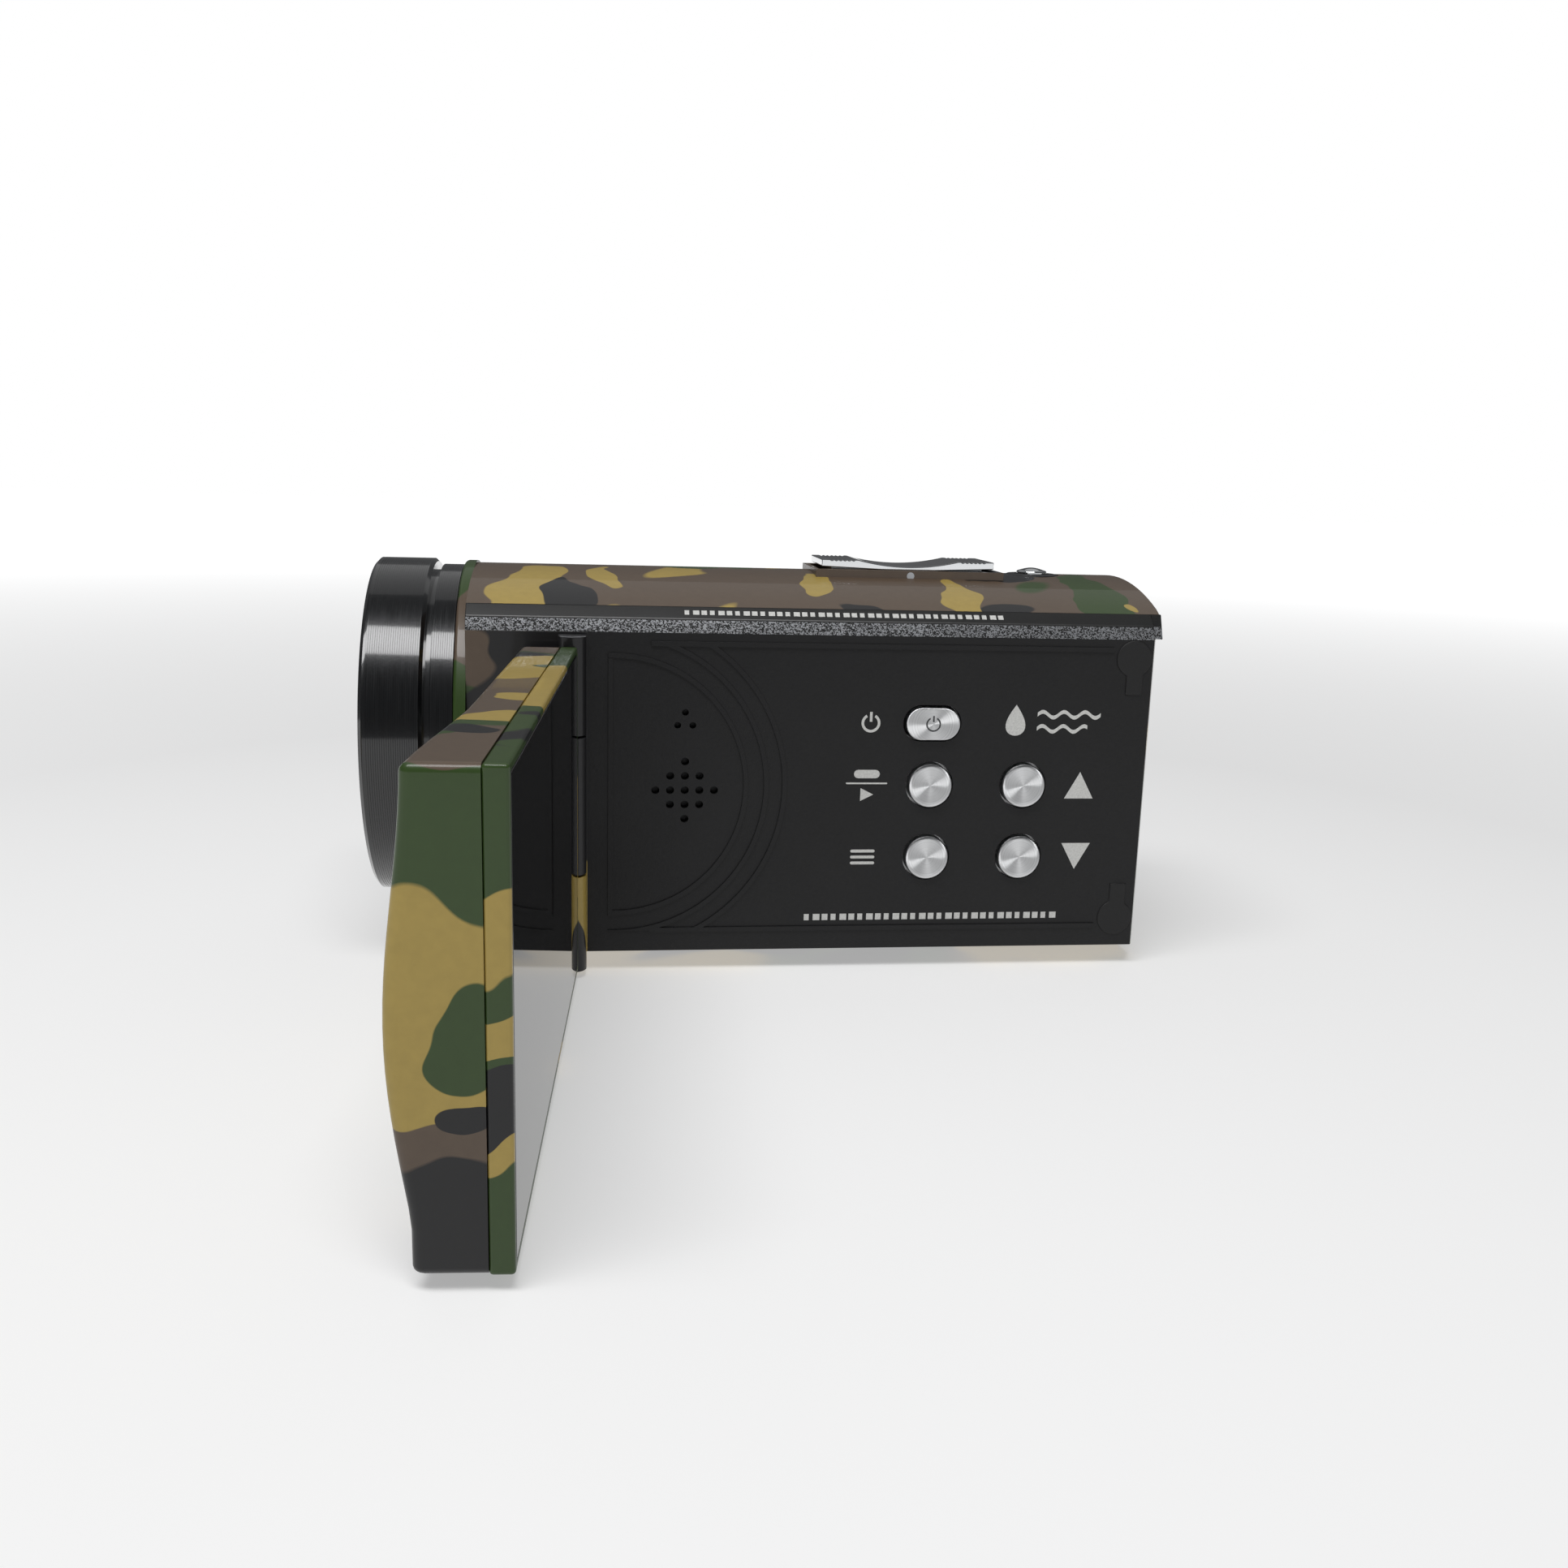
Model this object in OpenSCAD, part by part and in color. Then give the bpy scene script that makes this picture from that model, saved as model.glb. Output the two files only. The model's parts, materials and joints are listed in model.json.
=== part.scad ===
// Pocket camcorder in a waterproof camouflage case, with a side screen that
// opens and swivels. The lens looks along -X, the screen is on the -Y side,
// +Z is up. The origin is the mouth of the tripod socket in the flat base.

/* [Case] */
// Distance from the tripod socket to the front wall of the case
case_front = 43.3; // [42:0.1:46]
// Distance from the tripod socket to the rear wall of the case
case_rear = 62; // [60:0.5:66]
// Height of the crown of the case above the base
case_h = 59.9; // [58:0.1:62]
// Distance from the lens axis to the flat control side
side_y = 24; // [23.5:0.1:26]
// Distance from the lens axis to the widest part of the grip side
grip_y = 25; // [24:0.5:28]
// Wall thickness of the case mouldings
wall = 2; // [1.8:0.1:2.4]

/* [Lens] */
// Height of the lens axis above the base
lens_z = 34; // [33:0.1:35]
// Outer radius of the front ring
ring_r = 26.5; // [25:0.1:26.6]
// Length of the front ring
ring_len = 9; // [7:0.5:12]
// Outer radius of the barrel behind the front ring
barrel_r = 25.6; // [24.5:0.1:25.8]
// Length of the barrel behind the front ring
barrel_len = 4.4; // [3:0.1:6]
// Thickness of the round collar on the front of the case
collar_t = 1.8; // [1.2:0.1:3]
// Radius of the front glass
glass_r = 13.5; // [10:0.5:16]

/* [Screen] */
// Angle at which the screen stands when it is fully open
screen_open = 93; // [60:1:93]
// Length of the screen housing from its hinge end to its free end
screen_len = 84; // [78:0.5:84]
// Height of the screen housing
screen_h = 48.6; // [46:0.1:48.8]
// Thickness of the screen housing at its upper and lower edges
screen_t = 8; // [7.5:0.1:8.5]
// How much thicker the housing gets at its free end
flare = 1.6; // [0:0.1:2]
// Height of the bulge along the middle of the outer cover
bulge = 2.1; // [0.5:0.1:2.2]
// Thickness of the front frame that holds the glass
bezel_t = 2.5; // [2:0.1:3]
// Radius of the hinge knuckles
knuckle_r = 2; // [1.8:0.1:2.2]
// Radius of the hinge pins
pin_r = 0.8; // [0.6:0.1:1]
// Radius of the swivel shaft
shaft_r = 1.8; // [1.5:0.1:2]

/* [Buttons] */
// Radius of the round buttons
button_r = 3.4; // [3:0.1:3.6]
// How far the buttons stand out of the control panel
button_proud = 0.8; // [0.4:0.1:0.8]
// How far a button can be pressed
button_travel = 0.5; // [0.3:0.1:0.5]
// Gap around a button in its hole
button_gap = 0.3; // [0.2:0.05:0.4]

/* [Top controls] */
// Length of the zoom rocker
zoom_len = 28.2; // [24:0.2:29]
// Width of the zoom rocker
zoom_w = 12; // [9:0.5:12.4]
// Position of the middle of the zoom rocker behind the tripod socket
zoom_x = 25.2; // [24:0.1:26]
// Depth of the finger dip in the zoom rocker
zoom_dip = 1; // [0.5:0.1:1.2]
// Radius of the shutter button
shutter_r = 2.5; // [2:0.1:3]
// Position of the shutter button behind the tripod socket
shutter_x = 47.4; // [46.5:0.1:50]

/* [Rear door] */
// Width of the rear door
door_w = 27; // [26:0.5:28]
// Height of the rear door
door_h = 44; // [42:0.5:46]
// Thickness of the rear door
door_t = 2.2; // [1.8:0.1:2.6]
// How far the door latch slides
latch_travel = 1.5; // [1:0.1:1.6]

/* [Hidden] */
$fn = 96;
eps = 0.01;

camo = "#8f8450";
black = "#1c1c1e";
steel = "#b9bcc0";
board_green = "#24543a";
smoke_glass = "#2a3036";

// case outline
case_len = case_front + case_rear;
crown_half = 21.5;
trim_z = 51.8;
trim_top = 55.5;
trim_mid = [23.3, 53.9];
// run and rise of the sloped edge of the underside
foot = [9.5, 3];
crown_drop = case_h - trim_top;
crown_r = (crown_half * crown_half + crown_drop * crown_drop) / (2 * crown_drop);
grip_r = 60;
grip_z = 30;

case_ends = [-case_front - 1, case_rear + 1];
skirt_y = -5;
screw_x = [-32, 50];
screw_y = [-12, 11];
screw_r = 1.1;
screw_head_r = 2.2;
screw_head_t = 1.2;
screw_boss_r = 2.8;
screw_boss_top = 8;
socket_r = 2.55;
socket_len = 6.5;
insert_r = 5;
insert_flange_r = 6.5;
insert_top = 8.5;

// lens, from the case forwards and then back into it
barrel_x = -case_front - collar_t;
ring_x = barrel_x - barrel_len;
ring_front = ring_x - ring_len;
ring_wall = 3.6;
ring_step_x = ring_front + 5.4;
ring_step_r = ring_r - 7;
barrel_bore_r = barrel_r - 6;
spigot_r = barrel_r - 3.4;
groove_len = 0.8;
groove_depth = 0.9;
plate_x = ring_front + 2;
plate_t = 1.6;
front_glass_x = plate_x + 0.3;
cell_x = plate_x + plate_t;
cell_len = 20;
cell_r = glass_r - 2;
cell_floor = 1.4;
cell_window_r = 6;
element_x = [[1.5, 4.5], [8, 10], [15, 17.5]];
sensor_x = cell_x + cell_len + cell_floor;
sensor_board_t = 1.6;
sensor_board_half = 11;
sensor_t = 1.4;
sensor_half = 5;

// control panel
panel_x0 = -25.8;
panel_x1 = 60.3;
panel_z0 = 3;
panel_t = 1.5;
panel_back = panel_t - side_y;
ridge_h = 0.25;
ridge_w = 0.7;
panel_frame_x1 = case_rear - 1.5;
rear_cut_y = -20;
window_x = [-20.5, 52];
window_z = [10, 46.5];
col_x = [26.2, 40.9];
row_z = [38.65, 29.07, 17.7];
power_half = 1.7;
power_r = 2.5;
flange_y = panel_back + 0.1;
flange_t = 0.5;
flange_lip = 0.9;
mat_y = flange_y + flange_t + button_travel + 0.1;
mat_t = 0.6;
mat_x = [18, 50];
mat_z = [12, 45];
button_board_t = 1.6;
speaker_at = [-11.3, 28.2];
speaker_r = 8;
speaker_magnet_r = 5;
speaker_t = 2.5;
speaker_hole_r = 0.6;
speaker_hole_pitch = 2.2;
mic_at = [-11.35, 38.75];
mic_hole_r = 0.5;
mic_hole_circle = 1.3;
mic_r = 3;
mic_t = 2.2;
motif_x = -21.75;
motif_z = 28.8;
motif_r = [20, 23.1, 25.9];
motif_bar_z = [8.6, 48];
motif_span_z = [6.3, 50.3];
motif_line_x = [-16.5, 54];
motif_line_z = [6, 49.9];
bumper_x = 57.3;
bumper_z = [7.6, 48.9];
bumper_r = 2.8;
bumper_stem = 5.6;
bumper_stem_x = [-1.1, 1.5];
bumper_depth = 0.7;
bumper_proud = 0.2;

// screen, in the closed position before it is turned about the hinge
hinge_x = -27.9;
face_w = 0.9;
closed_gap = 1;
hinge_y = -side_y - closed_gap - face_w;
screen_u0 = knuckle_r + 0.4;
screen_u1 = screen_u0 + screen_len;
screen_z0 = 1.5;
screen_mid = screen_z0 + screen_h / 2;
edge_w = face_w - screen_t;
flare_from = 0.66;
swivel_w = -4.9;
bush_low = swivel_w - 2.5;
bush_high = swivel_w + 2.4;
bush_half = 7;
cover_wall = 1.4;
slice_t = 0.5;
knuckle_z = [[1, 15.7], [37, 51.4]];
block_z = [16, 36.7];
block_u0 = -1.2;
block_gap = 0.3;
pin_fit = 0.05;
pin_end = 1.2;
pin_in_block = 4;
shaft_bore_r = 0.9;
shaft_head_r = shaft_r + 0.9;
shaft_head_t = 1.2;
bush_u = 9;
glass_t = 0.8;
glass_edge = 1;
bezel_lip = 4;
lcd_gap = 0.5;
lcd_t = 2.6;
lcd_u = [screen_u0 + 12, screen_u1 - 5];

// top and rear
platform_len = 30.5;
platform_w = 16;
platform_top = 60.5;
platform_low = 57.4;
well_floor = 58.4;
zoom_top = 62;
zoom_saddle_z = 60.6;
zoom_lip_z = 59.3;
zoom_lip_t = 1.7;
zoom_hub_z = 58.8;
zoom_hub_half = 2;
zoom_dip_half = 8.2;
zoom_pin_z = 59.7;
zoom_pin_r = 0.6;
knurl_r = 0.25;
knurl_from = 8.6;
knurl_pitch = 0.6;
shutter_top = 61;
shutter_low = 57;
shutter_base_r = 4.5;
shutter_base_low = 58;
record_at = [-14.5, 44];
record_r = 3;
record_proud = 0.8;
record_flange_x = -wall - 1.1;
record_switch_half = 4;
door_y1 = 17;
door_y0 = door_y1 - door_w;
door_z0 = 6;
door_gap = 0.6;
door_x = case_rear + door_gap;
door_pin_y = 18.4;
door_pin_x = door_x + door_t / 2 + 0.2;
door_pin_r = 0.6;
door_knuckle_r = 1.2;
door_knuckle_z = [[10, 16], [40, 46]];
door_knuckle_gap = 0.3;
door_relief = 0.7;
latch_z = [23.2, 32.8];
latch_len = 6.6;
latch_tongue = 1.6;
latch_fit = 0.2;
latch_pocket_len = 9;
latch_grip_y = [3, 4.2, 5.4];
latch_grip_r = 0.3;
keeper_y = [door_y0 - 2.9, door_y0 - 0.4];
keeper_z = [20, 36];
bay_y = [-8, 14];
bay_z = [9, 47];
seal_w = 1.4;
seal_fit = 0.2;
board_x = [-24, 54];
board_y = -11.9;
board_z = [9, 50];
board_t = 1.6;

// a flat outline in Y and Z, carried along X
module along_x(x0, len) {
    translate([x0, 0, 0]) rotate([90, 0, 90]) linear_extrude(len) children();
}

// a round bar along X, along Y or along Z between two places
module bar_x(x0, x1, r) {
    translate([x0, 0, 0]) rotate([0, 90, 0]) cylinder(r = r, h = x1 - x0);
}
module bar_y(y0, y1, r) {
    translate([0, y1, 0]) rotate([90, 0, 0]) cylinder(r = r, h = y1 - y0);
}
module bar_z(z0, z1, r) {
    translate([0, 0, z0]) cylinder(r = r, h = z1 - z0);
}

// a block between two opposite corners
module block(a, b) {
    translate(a) cube(b - a);
}

// a ring about the lens axis
module lens_tube(x0, x1, outer, inner) {
    translate([0, 0, lens_z]) difference() {
        bar_x(x0, x1, outer);
        bar_x(x0 - 1, x1 + 1, inner);
    }
}

// cross-section of the case, moved inwards by i
module case_outline(i = 0) {
    corner = 0.41 * i;
    foot_rise = 0.73 * i;
    foot_run = 0.15 * i;
    intersection() {
        translate([0, case_h - crown_r]) circle(r = crown_r - i);
        translate([grip_y - grip_r, grip_z]) circle(r = grip_r - i);
        polygon([
            [i - side_y, foot[1] + foot_rise],
            [i - side_y, trim_z - corner],
            [i - trim_mid[0], trim_mid[1] - corner],
            [i - crown_half, trim_top],
            [i - crown_half, case_h + 1],
            [grip_y + 1, case_h + 1],
            [grip_y + 1, i],
            [foot[0] + foot_run - side_y, i]
        ]);
    }
}

// the whole hollow case, before it is split into its mouldings
module case_body() {
    difference() {
        along_x(-case_front, case_len) case_outline();
        along_x(wall - case_front, case_len - 2 * wall) case_outline(wall);
        // round opening for the lens barrel
        translate([0, 0, lens_z]) bar_x(case_ends[0], wall + 1 - case_front, spigot_r);
        // battery bay in the rear wall
        block([case_rear - wall - 1, bay_y[0], bay_z[0]], [case_ends[1], bay_y[1], bay_z[1]]);
        // tripod insert and case screws
        bar_z(-1, wall + 1, insert_r);
        at_screws() bar_z(-1, wall + 1, screw_r);
        at_screws() bar_z(-1, screw_head_t, screw_head_r);
    }
    at_screws() difference() {
        bar_z(wall - eps, screw_boss_top, screw_boss_r);
        bar_z(wall - 1, screw_boss_top + 1, screw_r);
    }
}

module at_screws() {
    for (x = screw_x, y = screw_y) translate([x, y, 0]) children();
}

// the part of the case that the side trim and the skirt of the top take up
module trim_zone() {
    block([case_ends[0], -side_y - 1, trim_z], [case_ends[1], skirt_y, trim_top]);
}

module left_shell() color(camo) {
    difference() {
        union() {
            intersection() {
                case_body();
                block([case_ends[0], -side_y - 1, -1], [case_ends[1], 0, trim_top]);
            }
            // frame behind the control panel
            block([panel_x0 - wall, panel_back, foot[1]], [panel_frame_x1, panel_back + wall, trim_z]);
        }
        trim_zone();
        // recess and window for the control panel
        block([panel_x0, -side_y - 1, panel_z0], [panel_x1, panel_back, trim_z + 1]);
        block([window_x[0], -side_y, window_z[0]], [window_x[1], 0, window_z[1]]);
        at_record() bar_x(-wall - 0.5, 1, record_r + button_gap);
        // slanted rear corner that lets the control panel end the side
        linear_extrude(trim_z) polygon([
            [panel_x1, -side_y],
            [case_rear, rear_cut_y],
            [case_ends[1], rear_cut_y],
            [case_ends[1], -side_y - 1],
            [panel_x1, -side_y - 1]
        ]);
        // relief around the turning hinge block
        translate([hinge_x, hinge_y, 0])
            bar_z(block_z[0] - block_gap, block_z[1] + block_gap, knuckle_r + block_gap);
    }
    for (z = knuckle_z) knuckle(z[0], z[1]);
    latch_keeper();
}

// one hinge knuckle with the web that joins it to the case
module knuckle(z0, z1) {
    difference() {
        union() {
            translate([hinge_x, hinge_y, 0]) bar_z(z0, z1, knuckle_r);
            block([hinge_x - knuckle_r, hinge_y, z0], [hinge_x + knuckle_r, -side_y, z1]);
        }
        translate([hinge_x, hinge_y, 0]) {
            if (z0 < screen_mid) bar_z(z0 + pin_end, z1 + 1, pin_r);
            else bar_z(z0 - 1, z1 - pin_end, pin_r);
        }
    }
}

// slotted block on the rear wall that takes the tongue of the door latch
module latch_keeper() {
    difference() {
        block([case_rear, keeper_y[0], keeper_z[0]], [door_x + door_t, keeper_y[1], keeper_z[1]]);
        block([door_x + latch_fit, door_y0 - latch_travel - 0.5, latch_z[0] - latch_fit],
            [door_x + latch_tongue + latch_fit, door_y0, latch_z[1] + latch_fit]);
    }
}

module right_shell() color(camo) {
    intersection() {
        case_body();
        block([case_ends[0], 0, -1], [case_ends[1], grip_y + 1, trim_top]);
    }
    for (z = door_knuckle_z) difference() {
        union() {
            translate([door_pin_x, door_pin_y, 0]) bar_z(z[0], z[1], door_knuckle_r);
            block([case_rear, door_pin_y - door_knuckle_r, z[0]],
                [door_pin_x, door_pin_y + door_knuckle_r, z[1]]);
        }
        translate([door_pin_x, door_pin_y, 0]) bar_z(z[0] - 1, z[1] + 1, door_pin_r);
    }
}

module top_shell() color(camo) {
    difference() {
        intersection() {
            case_body();
            union() {
                block([case_ends[0], -crown_half - 1, trim_top], [case_ends[1], grip_y + 1, case_h + 1]);
                block([case_ends[0], wall - crown_half, trim_z], [case_ends[1], skirt_y, case_h]);
            }
        }
        translate([zoom_x - platform_len / 2, -platform_w / 2, trim_top])
            cube([platform_len, platform_w, case_h - trim_top + 1]);
        translate([shutter_x, 0, 0]) bar_z(trim_top, case_h + 1, shutter_base_r);
    }
}

module side_trim() color(black) {
    along_x(-case_front, panel_x1 + case_front) polygon([
        [-side_y, trim_z],
        [-trim_mid[0], trim_mid[1]],
        [-crown_half, trim_top],
        [wall - crown_half, trim_top],
        [wall - side_y, trim_z]
    ]);
    // closed front end
    along_x(-case_front, wall) polygon([
        [wall - side_y, trim_z],
        [wall - crown_half, trim_top],
        [wall - crown_half, trim_z]
    ]);
    // closed rear end, standing back with the case
    along_x(panel_x1, case_rear - panel_x1) polygon([
        [1 - side_y, trim_z],
        [-crown_half, trim_top],
        [wall - crown_half, trim_top],
        [wall - crown_half, trim_z]
    ]);
}

// raised line motif on the control panel, drawn in X and Z
module panel_motif() {
    intersection() {
        union() {
            for (r = motif_r) translate([motif_x, motif_z]) difference() {
                circle(r = r);
                circle(r = r - ridge_w);
            }
            translate([motif_x - 1, motif_bar_z[0]]) square([ridge_w, motif_bar_z[1] - motif_bar_z[0]]);
        }
        // only the half of the rings that lies behind the bar
        translate([motif_x - 1, motif_span_z[0]])
            square([2 * motif_r[2], motif_span_z[1] - motif_span_z[0]]);
    }
    for (z = motif_line_z) translate([motif_line_x[0], z])
        square([motif_line_x[1] - motif_line_x[0], ridge_w]);
}

// a thin plate in X and Z whose back lies at y1
module side_plate(y0, y1) {
    translate([0, y1, 0]) rotate([90, 0, 0]) linear_extrude(y1 - y0) children();
}

module at_button(col, row) {
    translate([col_x[col], 0, row_z[row]]) children();
}

module at_record() {
    translate([case_rear, record_at[0], record_at[1]]) children();
}

// round buttons sit in every place of the grid but the power button's own
module at_round_buttons() {
    for (col = [0, 1], row = [1, 2]) at_button(col, row) children();
}

// stadium outline of the power button, grown by g
module power_outline(g) {
    for (s = [-1, 1]) translate([s * power_half, 0]) circle(r = power_r + g);
    square([2 * power_half, 2 * (power_r + g)], center = true);
}

// two round bumpers whose stems point at each other
module bumper_outline() {
    for (i = [0, 1]) translate([bumper_x, bumper_z[i]]) mirror([0, i]) {
        circle(r = bumper_r);
        translate([bumper_stem_x[0], 0]) square([bumper_stem_x[1] - bumper_stem_x[0], bumper_stem]);
    }
}

module control_panel() color(black) difference() {
    union() {
        block([panel_x0, -side_y, panel_z0], [panel_x1, panel_back, trim_z]);
        side_plate(-side_y - ridge_h, -side_y) panel_motif();
    }
    at_round_buttons() bar_y(-side_y - 1, panel_back + 1, button_r + button_gap);
    at_button(0, 0) side_plate(-side_y - 1, panel_back + 1) power_outline(button_gap);
    // diamond of sound holes in front of the speaker
    for (i = [-2:2], j = [-2:2]) if (abs(i) + abs(j) < 3)
        translate([speaker_at[0] + i * speaker_hole_pitch, 0, speaker_at[1] + j * speaker_hole_pitch])
            bar_y(-side_y - 1, panel_back + 1, speaker_hole_r);
    // three sound holes in front of the microphone
    for (a = [90, 210, 330])
        translate([mic_at[0] + mic_hole_circle * cos(a), 0, mic_at[1] + mic_hole_circle * sin(a)])
            bar_y(-side_y - 1, panel_back + 1, mic_hole_r);
    side_plate(-side_y - 1, bumper_depth - side_y) bumper_outline();
}

module panel_bumpers() color("#141414") {
    side_plate(-side_y - bumper_proud, bumper_depth - side_y) bumper_outline();
}

module front_collar() color(camo) {
    lens_tube(barrel_x, -case_front, barrel_r + 0.7, spigot_r);
}

module lens_barrel() color(black) {
    difference() {
        lens_tube(ring_x, barrel_x, barrel_r, barrel_bore_r);
        lens_tube(ring_x - 1, ring_x + groove_len, barrel_r + 1, barrel_r - groove_depth);
    }
    lens_tube(barrel_x, wall - case_front, spigot_r, barrel_bore_r);
}

module lens_front_ring() color(black) {
    lens_tube(ring_front, ring_x, ring_r, ring_r - ring_wall);
    lens_tube(ring_step_x, ring_x, ring_r - ring_wall, ring_step_r);
}

module lens_bezel() color(black) {
    lens_tube(plate_x, cell_x, ring_r - ring_wall, glass_r);
    lens_tube(cell_x, ring_step_x, ring_r - ring_wall, glass_r + 2);
}

module front_glass() color(smoke_glass) {
    translate([0, 0, lens_z]) bar_x(front_glass_x, cell_x, glass_r);
}

module lens_cell() color(black) {
    lens_tube(cell_x, cell_x + cell_len, glass_r, cell_r);
    lens_tube(cell_x + cell_len, sensor_x, glass_r, cell_window_r);
}

module lens_elements() color(smoke_glass) {
    translate([cell_x, 0, lens_z]) for (x = element_x) bar_x(x[0], x[1], cell_r);
}

// a square plate about the lens axis
module sensor_plate(x0, x1, half) {
    block([x0, -half, lens_z - half], [x1, half, lens_z + half]);
}

module image_sensor() color(board_green) {
    chip_x = sensor_x + sensor_board_t;
    sensor_plate(sensor_x, chip_x, sensor_board_half);
    sensor_plate(chip_x, chip_x + sensor_t, sensor_half);
}

module hinge_pins() color(steel) {
    translate([hinge_x, hinge_y, 0]) {
        bar_z(knuckle_z[0][0] + pin_end, block_z[0] + pin_in_block, pin_r);
        bar_z(block_z[1] - pin_in_block, knuckle_z[1][1] - pin_end, pin_r);
    }
}

// everything on the screen side is drawn closed, then turned to its open angle
module opened() {
    translate([hinge_x, hinge_y, 0]) rotate([0, 0, -screen_open]) children();
}

module hinge_block() color(black) opened() difference() {
    union() {
        bar_z(block_z[0], block_z[1], knuckle_r);
        block([block_u0, edge_w - bulge / 2, block_z[0]], [knuckle_r, face_w, block_z[1]]);
    }
    bar_z(block_z[0] - 1, block_z[0] + pin_in_block + 0.5, pin_r + pin_fit);
    bar_z(block_z[1] - pin_in_block - 0.5, block_z[1] + 1, pin_r + pin_fit);
    translate([0, swivel_w, screen_mid]) bar_x(block_u0 + 0.2, knuckle_r + 1, shaft_r);
}

module swivel_shaft() color(steel) opened() translate([0, swivel_w, screen_mid]) {
    head_u = screen_u0 + bush_u;
    difference() {
        union() {
            bar_x(block_u0 + 0.2, head_u, shaft_r);
            bar_x(head_u, head_u + shaft_head_t, shaft_head_r);
        }
        bar_x(block_u0 - 1, head_u + shaft_head_t + 1, shaft_bore_r);
    }
}

module swivel_bush() color(steel) opened() difference() {
    block([screen_u0, bush_low, screen_mid - bush_half],
        [screen_u0 + bush_u - 0.1, bush_high, screen_mid + bush_half]);
    translate([0, swivel_w, screen_mid]) bar_x(screen_u0 - 1, screen_u0 + bush_u + 1, shaft_r + pin_fit);
}

// slice of the outer cover at u, whose edges stand at w and whose middle bulges
module cover_slice(u, w, i) {
    half = screen_h / 2 - i;
    r = (half * half + bulge * bulge) / (2 * bulge);
    along_x(u, slice_t) intersection() {
        translate([w + i - bulge + r, screen_mid]) circle(r = r, $fn = 180);
        translate([w + i - bulge, screen_mid - half]) square([face_w - bezel_t - w - i + bulge, 2 * half]);
    }
}

module cover_form(i) {
    mid = screen_u0 + flare_from * screen_len;
    hull() {
        cover_slice(screen_u0 + i, edge_w, i);
        cover_slice(mid, edge_w, i);
    }
    hull() {
        cover_slice(mid, edge_w, i);
        cover_slice(screen_u1 - i - slice_t, edge_w - flare, i);
    }
}

module screen_cover() color(camo) opened() difference() {
    cover_form(0);
    difference() {
        cover_form(cover_wall);
        block([0, -20, 0], [screen_u0 + cover_wall, 5, 60]);
    }
    translate([0, face_w - bezel_t - 1, 0]) block([screen_u0 + cover_wall, 0, screen_z0 + cover_wall],
        [screen_u1 - cover_wall, 2, screen_z0 + screen_h - cover_wall]);
    block([screen_u0 - 1, bush_low, screen_mid - bush_half],
        [screen_u0 + 3, face_w, screen_mid + bush_half]);
}

module screen_bezel() color(camo) opened() difference() {
    block([screen_u0, face_w - bezel_t, screen_z0], [screen_u1, face_w, screen_z0 + screen_h]);
    block([screen_u0 + glass_edge, face_w - glass_t, screen_z0 + glass_edge],
        [screen_u1 - glass_edge, face_w + 1, screen_z0 + screen_h - glass_edge]);
    block([screen_u0 + bezel_lip, face_w - bezel_t - 1, screen_z0 + bezel_lip],
        [screen_u1 - bezel_lip, face_w, screen_z0 + screen_h - bezel_lip]);
}

module screen_glass() color(smoke_glass) opened() {
    block([screen_u0 + glass_edge, face_w - glass_t, screen_z0 + glass_edge],
        [screen_u1 - glass_edge, face_w, screen_z0 + screen_h - glass_edge]);
}

module lcd_module() color("#3a3d42") opened() {
    lip = bezel_lip + lcd_gap;
    block([lcd_u[0], face_w - glass_t - lcd_t, screen_z0 + lip],
        [lcd_u[1], face_w - glass_t, screen_z0 + screen_h - lip]);
}

// round push button: cap in front, retaining flange behind the panel
module round_button() {
    bar_y(-side_y - button_proud, flange_y, button_r);
    bar_y(flange_y, flange_y + flange_t, button_r + flange_lip);
}

module power_button() color(steel) at_button(0, 0) {
    side_plate(-side_y - button_proud, flange_y) power_outline(0);
    side_plate(flange_y, flange_y + flange_t) power_outline(flange_lip);
}

module mode_button() color(steel) at_button(0, 1) round_button();
module up_button() color(steel) at_button(1, 1) round_button();
module menu_button() color(steel) at_button(0, 2) round_button();
module down_button() color(steel) at_button(1, 2) round_button();

module button_mat() color("#5b5f66") {
    block([mat_x[0], mat_y, mat_z[0]], [mat_x[1], mat_y + mat_t, mat_z[1]]);
}

module button_board() color(board_green) {
    block([mat_x[0], mat_y + mat_t, mat_z[0]], [mat_x[1], mat_y + mat_t + button_board_t, mat_z[1]]);
}

module speaker() color("#33363a") translate([speaker_at[0], 0, speaker_at[1]]) {
    bar_y(panel_back, panel_back + speaker_t, speaker_r);
    bar_y(panel_back + speaker_t, panel_back + 2 * speaker_t, speaker_magnet_r);
}

module microphone() color(steel) translate([mic_at[0], 0, mic_at[1] + 1]) {
    bar_y(panel_back, panel_back + mic_t, mic_r);
}

module zoom_platform() color(camo) {
    x0 = zoom_x - platform_len / 2;
    difference() {
        block([x0, -platform_w / 2, platform_low], [x0 + platform_len, platform_w / 2, platform_top]);
        block([zoom_x - zoom_len / 2 - 0.4, -zoom_w / 2 - 0.3, well_floor],
            [zoom_x + zoom_len / 2 + 0.4, zoom_w / 2 + 0.3, platform_top + 1]);
        at_zoom_pin() bar_y(-platform_w, platform_w, zoom_pin_r);
    }
}

module at_zoom_pin() {
    translate([zoom_x, 0, zoom_pin_z]) children();
}

module zoom_pin() color(steel) at_zoom_pin() bar_y(-platform_w / 2, platform_w / 2, zoom_pin_r);

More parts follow.
